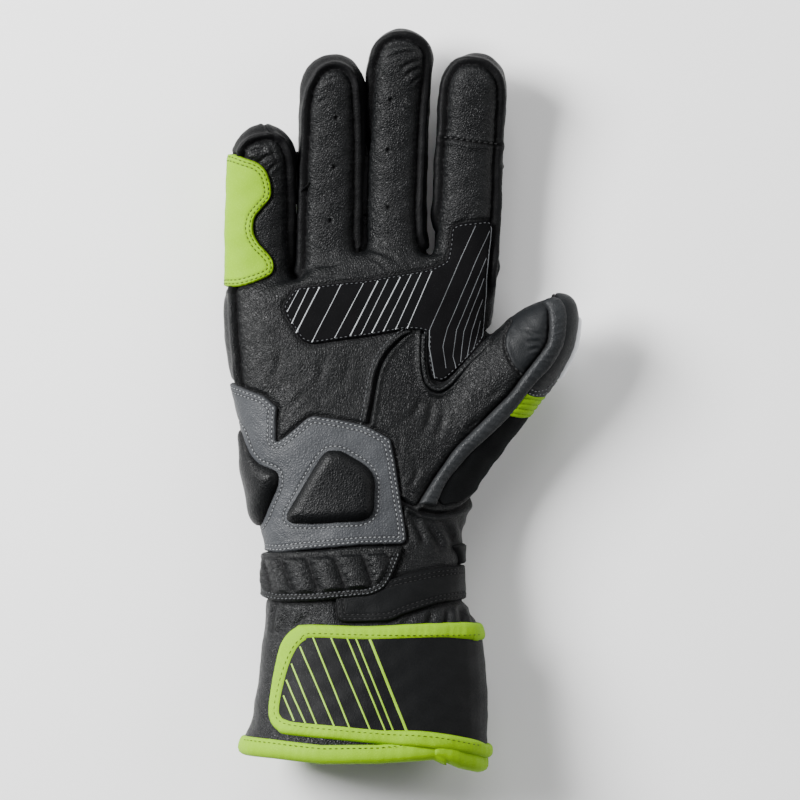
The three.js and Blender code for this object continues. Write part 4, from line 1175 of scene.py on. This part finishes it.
# %% Crowned pads that swell
def swell(made, cap, frames=12):
    """Cloth with pressure and no gravity, pinned at the border, its result baked into the mesh."""
    mesh = made.data
    start = np.array([v.co for v in mesh.vertices])
    faces = np.array([tuple(p.vertices) for p in mesh.polygons])
    rim = border(faces)
    group = made.vertex_groups.new(name="sewn")
    group.add([int(k) for k in rim], 1.0, "REPLACE")
    cloth = made.modifiers.new("cloth", "CLOTH")
    cloth.settings.use_pressure = True
    cloth.settings.uniform_pressure_force = 4.0
    cloth.settings.vertex_group_mass = "sewn"
    cloth.settings.mass = 0.3
    cloth.settings.tension_stiffness = 40
    cloth.settings.compression_stiffness = 40
    cloth.settings.bending_stiffness = 4
    cloth.settings.effector_weights.gravity = 0
    scene = bpy.context.scene
    for number in range(1, frames + 1):
        scene.frame_set(number)
    posed = made.evaluated_get(bpy.context.evaluated_depsgraph_get()).to_mesh()
    end = np.array([v.co for v in posed.vertices])
    made.evaluated_get(bpy.context.evaluated_depsgraph_get()).to_mesh_clear()
    made.modifiers.remove(cloth)
    scene.frame_set(1)
    move = end - start
    far = np.linalg.norm(move, axis=1, keepdims=True)
    move *= np.minimum(1.0, cap / np.maximum(far, 1e-9))
    mesh.vertices.foreach_set("co", (start + move).ravel())
    mesh.update()
    print(made.name, "swelled by up to", round(float(np.linalg.norm(move, axis=1).max()) * 1000, 2), "mm")


def pad(name, outline, low, height, crown):
    """A cushion: height times (1 - share^2.4)^0.62, share falling from 1 at the border to 0 at the
    crown's width, then swollen by the cloth simulation."""
    region = within(outline, low)
    points, normals, faces = cut(region, 1)
    inward = region(points)
    share = 1 - np.clip(inward / crown, 0, 1)
    lift = 0.4 + height * (1 - share**2.4) ** 0.62 - 0.9 * bell(inward, 0.3)
    # painted shade round the pad's sewn border
    painted_shade = 0.9 * bell(inward, 0.5)
    made = place(name, points + normals * lift[:, None], faces, PAD_BLACK, (name,), "black_leather", painted_shade)
    swell(made, 0.0007)


pad("centre_heel_pad", CENTRE_PAD, None, 5.0, 5.5)
pad("outer_heel_pad", OUTER_PAD, 7.5, 5.0, 5.5)

# %% [markdown]
# ## Laid strips
#
# Bindings, welts, ribbons and prints follow a line. A grid with one parameter along the line and
# one across it is dropped on the skin, then lifted by a profile: P(u, v) = S(u, v) + n h(v), where
# S is the skin under the chord between the strip's two edges.

# %% Strips along lines
def drop(flat):
    """Lets points fall straight down on the skin. A point that misses the skin is marked not landed."""
    points = np.column_stack([flat, np.full(len(flat), 64.0)])
    for _ in range(45):
        points[:, 2] -= 0.75 * np.maximum(hand_distance(points), 0)
        points[:, 2] = np.maximum(points[:, 2], -9)
    landed = points[:, 2] > 1.0
    points[landed] = onto_skin(points[landed], 1)[0]
    return points, landed


def on_top(line):
    """A line in plan dropped on the skin; where it misses, it keeps the last height."""
    points, landed = drop(np.asarray(line, float)[:, :2])
    height = np.interp(np.arange(len(points)), np.flatnonzero(landed), points[landed, 2])
    points = np.column_stack([np.asarray(line, float)[:, :2], np.where(landed, points[:, 2], height)])
    return onto_skin(points, 2)[0]


def grid_faces(rows, columns, closed=False):
    """Faces of a grid of points, row by row, each face seen from above with its corners in turn."""
    r = np.arange(rows if closed else rows - 1)[:, None]
    c = np.arange(columns - 1)[None, :]
    after = (r + 1) % rows
    corner = [r * columns + c, after * columns + c, after * columns + c + 1, r * columns + c + 1]
    return np.stack([np.broadcast_to(k, (len(r), columns - 1)).ravel() for k in corner], axis=1)


def outward(points, normals, faces):
    """Turns the faces over if they look away from the skin's direction."""
    corner = points[faces]
    across = np.cross(corner[:, 2] - corner[:, 0], corner[:, 3] - corner[:, 1])
    return faces if (across * normals[faces[:, 0]]).sum() > 0 else faces[:, ::-1]


def strip(first, second, height, across=9, base=0.0, pucker=0.0, ends=0.0):
    """The grid between two edges on the skin. height(v), with v from -1 to 1, is its profile over
    base, a number or a function of place. Over the length ends it comes up from under the skin by a
    quarter circle, which closes it."""
    count = len(first)
    v = np.linspace(-1, 1, across)
    points = first[:, None] * (1 - v[None, :, None]) / 2 + second[:, None] * (1 + v[None, :, None]) / 2
    points, normals = onto_skin(points.reshape(-1, 3), 3)
    steps = np.linalg.norm(np.diff((first + second) / 2, axis=0), axis=1)
    u = np.repeat(np.concatenate([[0], np.cumsum(steps)]), across)
    base = base(points) if callable(base) else base
    lift = np.tile(height(v), count) + base + soft_relief(points)
    if pucker:
        lift += pucker * np.sin(u * 2.2 + 1.4 * np.sin(u * 0.45)) * np.tile(1 - v**2, count)
    if ends:
        share = np.clip(np.minimum(u, u.max() - u) / ends, 0, 1)
        lift = -0.5 + (lift + 0.5) * np.sqrt(1 - (1 - share) ** 2)
    faces = grid_faces(count, across)
    made = points + normals * lift[:, None]
    return made, outward(made, normals, faces), np.tile(v, count)


def join(parts):
    """Several grids as one mesh."""
    points, faces, marks, start = [], [], [], 0
    for own, own_faces, mark in parts:
        points.append(own)
        faces.append(own_faces + start)
        marks.append(mark)
        start += len(own)
    return np.concatenate(points), np.concatenate(faces), np.concatenate(marks)


def rolled(high, flat=0.55, sink=0.5):
    """Profile of a folded edge: steep sides and a nearly flat round top."""
    return lambda v: -sink + (high + sink) * (1 - np.abs(v) ** 3.2) ** flat


def beside(line, amount):
    """The line in plan moved to its left by an amount."""
    line = np.asarray(line, float)[:, :2]
    run = np.gradient(line, axis=0)
    run /= np.linalg.norm(run, axis=1, keepdims=True)
    return line + amount * np.stack([-run[:, 1], run[:, 0]], axis=1)


def trim(name, parts, material, stands_for=(), slot=None, painted_shade=0.8):
    """One piece from one or more strips, with painted shade along both edges."""
    points, faces, v = join(parts)
    place(name, points, faces, material, stands_for, slot, painted_shade * np.abs(v) ** 14)
    print(name, len(faces), "faces")


# %% [markdown]
# ## Thumb binding, welt and keeper
#
# A binding is a folded strip that covers two raw edges, a welt is a narrow roll sewn into a seam,
# and the keeper is the loop that holds the strap. All three are rolled strips. The thumb binding
# turns a tight corner, so it is given by its two edges instead of a middle line and a width.

# %% Bindings, welt and keeper
inner, outer = two_edges(THUMB_INNER_EDGE, THUMB_OUTER_EDGE)
thumb_strip = strip(on_top(inner), on_top(outer), rolled(1.9), 13, pucker=0.09, ends=1.2)
trim("thumb_binding", [thumb_strip], TRIM_GREY, ("thumb_binding",), "grey_leather")


def roll(line, left, right, height, across=9):
    """A narrow rolled strip along a line in plan, from its left to its right."""
    line = smooth_line(line, 0.6)
    edges = on_top(beside(line, left)), on_top(beside(line, right))
    return strip(*edges, rolled(height), across, ends=1.2)


WELT = [
    (4.6, 27.4), (1.4, 26.6), (-2.4, 23.8), (-7.2, 18.6), (-10.7, 10.7), (-12.6, 0.0), (-14.2, -7.4),
    (-14.3, -9.4),
]
trim("thumb_seam_welt", [roll(WELT, -0.9, 1.1, 1.4)], BLACK, ("thumb_seam_welt",), "black_leather")
CROTCH_RIM = [
    (9.4, 26.6), (9.0, 20.0), (9.3, 13.0), (11.0, 6.6), (15.2, 4.0), (19.8, 6.4), (26.6, 13.2),
    (34.0, 20.6), (37.0, 24.0),
]
trim("crotch_rim", [roll(CROTCH_RIM, -1.0, 0.9, 1.5)], BLACK, (), "black_leather")
KEEPER = [(22.4, -57.4), (24.6, -61.6), (25.4, -65.6)]
trim("strap_keeper", [roll(KEEPER, -1.9, 1.9, 2.0)], STRAP, ("strap_keeper",), "strap_leather")

# %% [markdown]
# ## The binding round the flap
#
# The flap's edge is wrapped in a fluorescent strip, which runs across the cuff, round the flap's
# left end and back, and disappears down the right side. Its top part follows two lines in plan,
# and its ends go down the side by heights instead, because seen from above a side has no width.

# %% Binding of the closure flap
FLAP_OUTER = [
    (28.9, -88.8), (-10.0, -89.4), (-37.5, -89.0), (-41.4, -90.0), (-44.9, -92.8),
    (-47.6, -97.9), (-49.9, -107.8), (-51.8, -121.1), (-51.6, -127.1), (-48.9, -130.8),
    (-43.0, -132.9), (-10.9, -135.9), (15.6, -138.8), (22.2, -139.8), (28.9, -141.4),
]
FLAP_INNER = [
    (28.9, -96.2), (-10.0, -95.8), (-33.5, -95.2), (-36.4, -96.2), (-39.2, -98.9),
    (-42.1, -104.5), (-44.8, -113.2), (-46.6, -122.8), (-46.0, -125.2), (-43.8, -126.5),
    (-37.5, -127.4), (-10.9, -129.7), (9.0, -131.0), (18.9, -132.4), (28.9, -134.8),
]
DOWN_THE_SIDE = np.array([38.0, 32.5, 27.0, 21.0, 15.5])


def down_the_side(y):
    """Points down the right side of the cuff, all at the same place along it."""
    points = np.column_stack([np.full(5, 36.0), np.full(5, y), DOWN_THE_SIDE])
    for _ in range(5):
        points = onto_skin(points, 1)[0]
        points[:, 1:] = np.column_stack([np.full(5, y), DOWN_THE_SIDE])
    return onto_skin(points, 1)[0]


def over_the_cuff(line, start_y, end_y):
    """An edge of the flap: up the right side of the cuff, across the top and down again."""
    up, down = down_the_side(start_y)[::-1], down_the_side(end_y)
    return np.vstack([up, on_top(line), down])


def over_hem(points):
    """Extra height where the binding crosses the hem binding, and where the flap stands off its
    fold: a smooth step across the width of the cuff."""
    low = 1.5 * fade(points[:, 0], -8, 8) * (points[:, 1] < -120)
    return low + 0.9 * fade(points[:, 0], 18, 31) * (points[:, 1] > -104)


flap_outer, flap_inner = two_edges(
    over_the_cuff(FLAP_OUTER, -88.8, -142.6), over_the_cuff(FLAP_INNER, -96.2, -136.6), 0.5
)
binding = strip(flap_outer, flap_inner, rolled(2.0), 13, over_hem, 0.05, 1.2)
trim("flap_binding", [binding], FLUO, ("flap_binding",), "fluo_leather", 0.6)

# %% [markdown]
# ## The binding of the open end
#
# The cuff's open end is wrapped in the same strip, folded over the edge, and laps over itself on
# the right. It is a closed profile swept round the cuff: outside, over the edge and back inside.
# A plain torus would not do, because the edge is not flat and the strip is thin inside.

# %% Binding of the hem
HEM_PROFILE = [
    # up from the hem, out from the skin
    (6.0, -0.4), (5.9, 0.8), (5.2, 1.5), (4.0, 1.8), (2.4, 2.0), (0.8, 1.9), (-0.6, 1.2), (-1.3, 0.0),
    (-1.5, -1.0), (-1.3, -2.2), (-0.4, -3.4), (1.2, -3.9), (4.0, -3.8), (5.2, -3.4), (5.6, -2.2),
]

HEM_START, HEM_OVERLAP, HEM_CLOSING = 0.84, 0.16, 0.035  # angles round the cuff


def hem_binding():
    """A folded strip round the open end. Section points: the ring of the cuff at that height, then
    out by the profile; the ring is centre + size * (sign cos |cos|^(2/n), sign sin |sin|^(2/n))."""
    profile = np.array(HEM_PROFILE)
    count = 420
    start = HEM_START
    turn = start + np.linspace(0, 2 * np.pi + HEM_OVERLAP, count)
    from_end = np.minimum(turn - turn[0], turn[-1] - turn)
    closing = np.sqrt(1 - (1 - np.clip(from_end / HEM_CLOSING, 0, 1)) ** 2)
    rows = []
    for up, out in profile:
        y = np.full(count, -145.0)
        for _ in range(3):
            centre, wide, middle, tall, power = through(BODY, y).T
            cosine, sine = np.cos(turn), np.sin(turn)
            x = centre + wide * np.sign(cosine) * np.abs(cosine) ** (2 / power)
            z = middle + tall * np.sign(sine) * np.abs(sine) ** (2 / power)
            y = hem_at(x) + up - 1.2 * bell(turn - start, 0.5) * (z > 20)
        skin, normals = onto_skin(np.stack([x, y, z], axis=1), 2)
        over = 0.9 * fade(turn, start + 2 * np.pi - 0.35, start + 2 * np.pi - 0.05)
        fold = 0.12 * np.sin(turn * 61 + 2 * np.sin(turn * 9)) + 0.25 * np.sin(turn * 17)
        rows.append(skin + normals * (closing * (out + (over + 0.4 * fold) * (out > 0)))[:, None])
    points = np.stack(rows, axis=1).reshape(-1, 3)
    faces = grid_faces(count, len(profile))
    away = np.tile(np.array([1.0] * 7 + [0.0] * 2 + [-1.0] * 6), count)
    centre = np.array([-12.0, -145.0, 30.0])
    faces = outward(points, (points - centre) * away[:, None], faces)
    place("hem_binding", points, faces, FLUO, ("hem_binding",), "fluo_leather")
    print("hem_binding", len(faces), "faces")


hem_binding()

# %% [markdown]
# ## Prints and stitches
#
# A printed line is a ribbon a twentieth of a millimetre above the piece it is printed on. A stitch
# is a small spindle lying along its seam, so that a row of them is one array: every stitch is the
# same few points, turned to the seam's direction, the skin's direction and the one across both.

# %% Printed lines
GRIP_PRINTS = [
    # width, points in plan
    (0.32, [(-40.4, 43.6), (-44.9, 35.0)]), (0.42, [(-36.4, 44.5), (-43.1, 30.4)]),
    (0.56, [(-32.1, 44.8), (-41.3, 26.7)]), (0.36, [(-23.5, 45.7), (-35.1, 22.9)]),
    (0.36, [(-14.6, 46.3), (-26.0, 24.6)]), (0.6, [(-8.8, 47.3), (-19.8, 25.5)]),
    (0.36, [(-4.8, 47.9), (-15.5, 26.1)]), (0.56, [(0.1, 48.8), (-11.2, 26.7)]),
    (0.4, [(4.4, 49.8), (-6.6, 27.4)]), (0.4, [(8.4, 50.5), (-1.8, 28.0)]),
    (0.4, [(12.6, 51.2), (2.8, 28.4)]),
    (0.4, [(30.1, 69.6), (11.7, 27.9), (11.5, 21.2), (13.8, 8.6)]),
    (0.36, [(35.4, 67.6), (18.8, 28.6), (16.9, 21.2), (18.2, 12.6)]),
    (0.36, [(34.2, 56.7), (22.4, 27.9), (20.9, 17.5), (22.2, 12.6)]),
    (0.36, [(33.3, 48.8), (25.2, 27.3), (24.0, 15.1)]), (0.36, [(32.6, 40.2), (28.2, 27.3), (26.7, 16.6)]),
    (0.3, [(31.6, 31.6), (29.2, 19.4)]), (0.3, [(36.2, 69.0), (34.4, 49.4), (32.6, 24.0)]),
]
FLAP_PRINTS = [
    (0.7, [(-45.1, -118.4), (-41.8, -126.4)]), (0.7, [(-44.1, -112.2), (-37.5, -127.2)]),
    (0.7, [(-42.1, -105.8), (-33.2, -127.6)]), (0.7, [(-38.8, -98.9), (-26.2, -128.4)]),
    (0.7, [(-33.8, -95.2), (-20.2, -129.0)]), (0.7, [(-26.8, -95.2), (-12.2, -129.7)]),
    (0.7, [(-20.6, -95.2), (-6.3, -130.0)]), (0.7, [(-17.2, -95.2), (-3.0, -130.4)]),
    (1.1, [(-11.6, -95.9), (2.3, -130.8)]),
]


def printed(name, lines, base, material, slot):
    """Thin ribbons along lines of (width, points), at a base height over the skin."""
    parts = []
    for width, line in lines:
        line = even_line(np.asarray(line, float), 1.2)
        edges = on_top(beside(line, width / 2)), on_top(beside(line, -width / 2))
        parts.append(strip(*edges, lambda v: 0.06 - 0.1 * np.abs(v) ** 6, 5, base))
    trim(name, parts, material, (), slot, 0.0)


def longer(lines, more):
    """The same straight lines, a little longer at both ends."""
    ready = []
    for width, line in lines:
        first, last = np.array(line[0]), np.array(line[-1])
        run = (last - first) / np.linalg.norm(last - first)
        ready.append((width, [first - more * run, last + more * run]))
    return ready


printed("grip_print", GRIP_PRINTS[:11], 0.78, SILVER, "suede")
printed("grip_fan_print", GRIP_PRINTS[11:], 0.78, SILVER_DIM, "suede")
printed("flap_print", longer(FLAP_PRINTS, 1.0), 1.42, FLUO_PRINT, "strap_leather")

# %% [markdown]
# ## Sewing
#
# The rows are found from the outlines: a line at a fixed distance inside the edge is where the
# machine's foot runs. The stitches are spaced by the length on the skin, not in plan, so they
# stay even where a row goes over a side.

# %% Rows of stitches
def inset(outline, amount, step=0.5):
    """The line at a distance inside an outline (or outside it, below zero)."""
    closed = np.vstack([outline, outline[:1]])
    line = even_line(closed, step)
    area = np.sum(closed[:-1, 0] * closed[1:, 1] - closed[1:, 0] * closed[:-1, 1])
    moved = beside(line, amount * np.sign(area))
    right = np.abs(plan_distance(outline, moved)[0] - amount) < 0.12
    return even_line(moved[right], step)


def spindle(sides=6, rings=5):
    """A stitch one long and one thick along x: rings whose radius is a half circle's root."""
    along = -np.cos(np.linspace(0, np.pi, rings))
    radius = np.sqrt(np.maximum(1 - along**4, 0)) * 0.5 + 0.02
    turn = np.linspace(0, 2 * np.pi, sides, endpoint=False)
    x = np.repeat(along / 2, sides)
    y, z = (np.outer(radius, f(turn)).ravel() for f in (np.cos, np.sin))
    ring, side = np.meshgrid(np.arange(rings - 1), np.arange(sides), indexing="ij")
    after = (side + 1) % sides
    low, high = ring * sides, (ring + 1) * sides
    corners = [low + side, low + after, high + after, high + side]
    return np.stack([x, y, z], axis=1), np.stack([c.ravel() for c in corners], axis=1)


SPINDLE, SPINDLE_FACES = spindle()


def on_skin_runs(rows, step):
    """The rows of (line in plan, height) dropped on the skin and cut where they leave its upper
    side, with a point at every even step of the length measured on the skin."""
    for line, height in rows:
        spots, landed = drop(even_line(np.asarray(line, float)[:, :2], 0.2))
        jump = np.linalg.norm(np.diff(spots, axis=0, prepend=spots[:1]), axis=1) > 2.0
        landed &= (spots[:, 2] > 14.0) & ~jump
        for part in np.split(np.arange(len(spots)), np.flatnonzero(~landed)):
            part = part[landed[part]]
            if len(part) > 3 * step / 0.2:
                yield even_line(spots[part], step), height


def sew(name, rows, material, slot, length=1.15, thick=0.42, gap=0.75, raised=None):
    """Stitches along rows of (line in plan, height over the skin). raised(points) adds to the
    height."""
    points, faces, start = [], [], 0
    for middle, height in on_skin_runs(rows, length + gap):
        run = np.gradient(middle, axis=0)
        middle, normals = onto_skin(middle, 1)
        run -= normals * (run * normals).sum(1, keepdims=True)
        run /= np.maximum(np.linalg.norm(run, axis=1, keepdims=True), 1e-6)
        side = np.cross(normals, run)
        more = raised(middle) if raised else 0.0
        lifted = middle + normals * (height + more + soft_relief(middle))[:, None]
        x, y, z = (SPINDLE[:, k][None, :, None] for k in range(3))
        tilt = 0.12 * thick
        body = lifted[:, None] + run[:, None] * x * length + side[:, None] * (y * thick + x * tilt)
        body = body + normals[:, None] * z * thick * 0.8
        first = start + np.arange(len(middle))[:, None, None] * len(SPINDLE)
        faces.append((SPINDLE_FACES[None] + first).reshape(-1, 4))
        points.append(body.reshape(-1, 3))
        start += len(points[-1])
    points, faces = np.concatenate(points), np.concatenate(faces)
    place(name, points, faces, material, (), slot)
    print(name, len(faces) // len(SPINDLE_FACES), "stitches")


def keep(line, test):
    """The longest run of points of a line that pass a test of their place."""
    good = test(line[:, 0], line[:, 1]).astype(int)
    edges = np.diff(np.concatenate([[0], good, [0]]))
    starts, ends = np.flatnonzero(edges == 1), np.flatnonzero(edges == -1)
    best = np.argmax(ends - starts)
    return line[starts[best]:ends[best]]


sew("heel_stitches", [(inset(HEEL_PATCH, 1.2), 1.15), (inset(HEEL_PATCH, 2.8), 1.15),
                      (inset(CENTRE_PAD, -1.3), 1.15), (inset(OUTER_PAD, -1.3), 1.15)],
    PALE_THREAD, "grey_leather", 1.1, 0.5, 0.75)
sew("little_patch_stitches", [(inset(LITTLE_PATCH, 1.2), 1.0), (inset(LITTLE_PATCH, 2.7), 1.0)],
    OLIVE_THREAD, "fluo_leather", 1.2, 0.45, 0.7)
sew("grip_stitches", [(inset(GRIP_BAND, 0.9), 0.7)], GREY_THREAD, "suede", 1.0, 0.34, 0.9)
panel_rows = [keep(inset(RIBBED_PANEL, amount), lambda x, y: y < -61.5) for amount in (1.3, 2.8)]
sew("panel_stitches", [(row, 2.42) for row in panel_rows],
    GREY_THREAD, "black_leather", 1.1, 0.5, 0.6)
channel_rows = [np.array([first + 0.13 * (last - first), last]) for first, last in np.array(CHANNELS)]
sew("channel_stitches", [(row, 2.45) for row in channel_rows], DARK_THREAD, "black_leather", 1.2, 0.4, 0.7)
sew("strap_stitches", [(inset(WRIST_STRAP, 1.4), 1.45), (inset(WRIST_STRAP, 3.0), 1.45)], DARK_THREAD,
    "strap_leather", 1.2, 0.36, 0.8)
touch_line = smooth_line([(18.2, 104.9), (22.0, 104.4), (30.0, 103.2), (38.2, 102.4)])
arc = smooth_line([(44.6, 31.6), (42.6, 27.2), (41.9, 22.3), (42.9, 18.0), (45.1, 13.7), (48.2, 10.4)])
sew("touch_stitches", [(touch_line, 0.1), (arc, 0.2)], DARK_THREAD, "black_leather", 1.5, 0.6, 0.9)
side_row = [smooth_line([(61.4, 8.2), (57.4, 3.7), (53.3, 2.5), (51.2, 3.0)]),
            smooth_line([(61.6, 9.8), (57.4, 5.1), (53.6, 3.9), (52.2, 4.4)])]
sew("side_panel_stitches", [(line, 1.35) for line in side_row], PALE_THREAD, "grey_leather", 1.0, 0.42, 0.7)
welt_side = beside(smooth_line(WELT), -1.35)
sew("welt_stitches", [(welt_side, 0.3)], GREY_THREAD, "black_leather", 1.0, 0.36, 0.9)
crotch_side = beside(smooth_line(CROTCH_RIM), 0.2)
sew("crotch_stitches", [(crotch_side, 1.4)], GREY_THREAD, "black_leather", 0.9, 0.3, 1.0)
flap_row = beside(smooth_line(FLAP_INNER), -2.3)
hem_along = np.linspace(-60.0, 0.0, 100)
hem_row = np.column_stack([hem_along, hem_at(hem_along) + 4.4])
sew("binding_stitches", [(flap_row, 2.05), (hem_row, 1.95)], OLIVE_THREAD, "fluo_leather", 1.3, 0.34, 1.0,
    raised=over_hem)

# %% [markdown]
# ## The inside
#
# Through the open cuff one sees the lining. It is the same net moved two millimetres inwards with
# its faces turned round, which gives the glove a real thickness at the hem.

# %% The inside of the glove
def lining():
    """The inner face of the shell, two millimetres in, seen through the open end of the cuff."""
    region_low = net_points[:, 1] > hem_at(net_points[:, 0]) + 1.0
    faces = net_quads[region_low[net_quads].all(1)]
    points, faces, used = compact(net_points, faces)
    place("lining", points - net_normals[used] * 2.2, faces[:, ::-1], LINING, (), "black_leather")
    print("lining", len(faces), "faces")


lining()

# %% [markdown]
# ## The studio
#
# The photo is a plain shot from straight above on a bright ground. One large lamp from the upper
# left gives black leather its sheen, a weak one on the right opens the shadows, and a third from
# beyond the fingers draws their rims. The camera is far away with a long lens, so that the sides of
# the glove hardly show.

# %% Floor, light and camera
CAMERA_LENS, CAMERA_HEIGHT = 335.0, 3.0
SKY = 0.17


def stage_and_light():
    """Floor, three square lamps that face the origin, an even sky and the camera straight above."""
    bpy.ops.mesh.primitive_plane_add(size=6, location=(0, 0, -0.0002))
    floor = bpy.context.object
    floor.name = "floor"
    made = Shader("floor", Roughness=0.9)
    made.surface.inputs["Base Color"].default_value = (0.9, 0.9, 0.9, 1)
    floor.data.materials.append(made.material)
    lights = [
        # name, place, size, watts
        ("key", (-1.1, 0.5, 1.0), 0.7, 80.0),
        ("fill", (1.1, 0.2, 0.9), 0.8, 8.0),
        ("back", (0.1, 1.3, 1.0), 0.8, 12.0),
    ]
    for name, where, size, watts in lights:
        lamp = bpy.data.lights.new(name, "AREA")
        lamp.size, lamp.energy = size, watts
        made = bpy.data.objects.new(name, lamp)
        bpy.context.collection.objects.link(made)
        made.location = where
        made.rotation_euler = (-Vector(where)).to_track_quat("-Z", "Y").to_euler()
    world = bpy.data.worlds.new("studio")
    bpy.context.scene.world = world
    world.use_nodes = True
    world.node_tree.nodes["Background"].inputs[0].default_value = (1, 1, 1, 1)
    world.node_tree.nodes["Background"].inputs[1].default_value = SKY
    camera = bpy.data.cameras.new("camera")
    camera.lens = CAMERA_LENS
    camera.clip_end = 10.0
    eye = bpy.data.objects.new("camera", camera)
    bpy.context.collection.objects.link(eye)
    eye.location = (0, 0, CAMERA_HEIGHT)
    bpy.context.scene.camera = eye


stage_and_light()
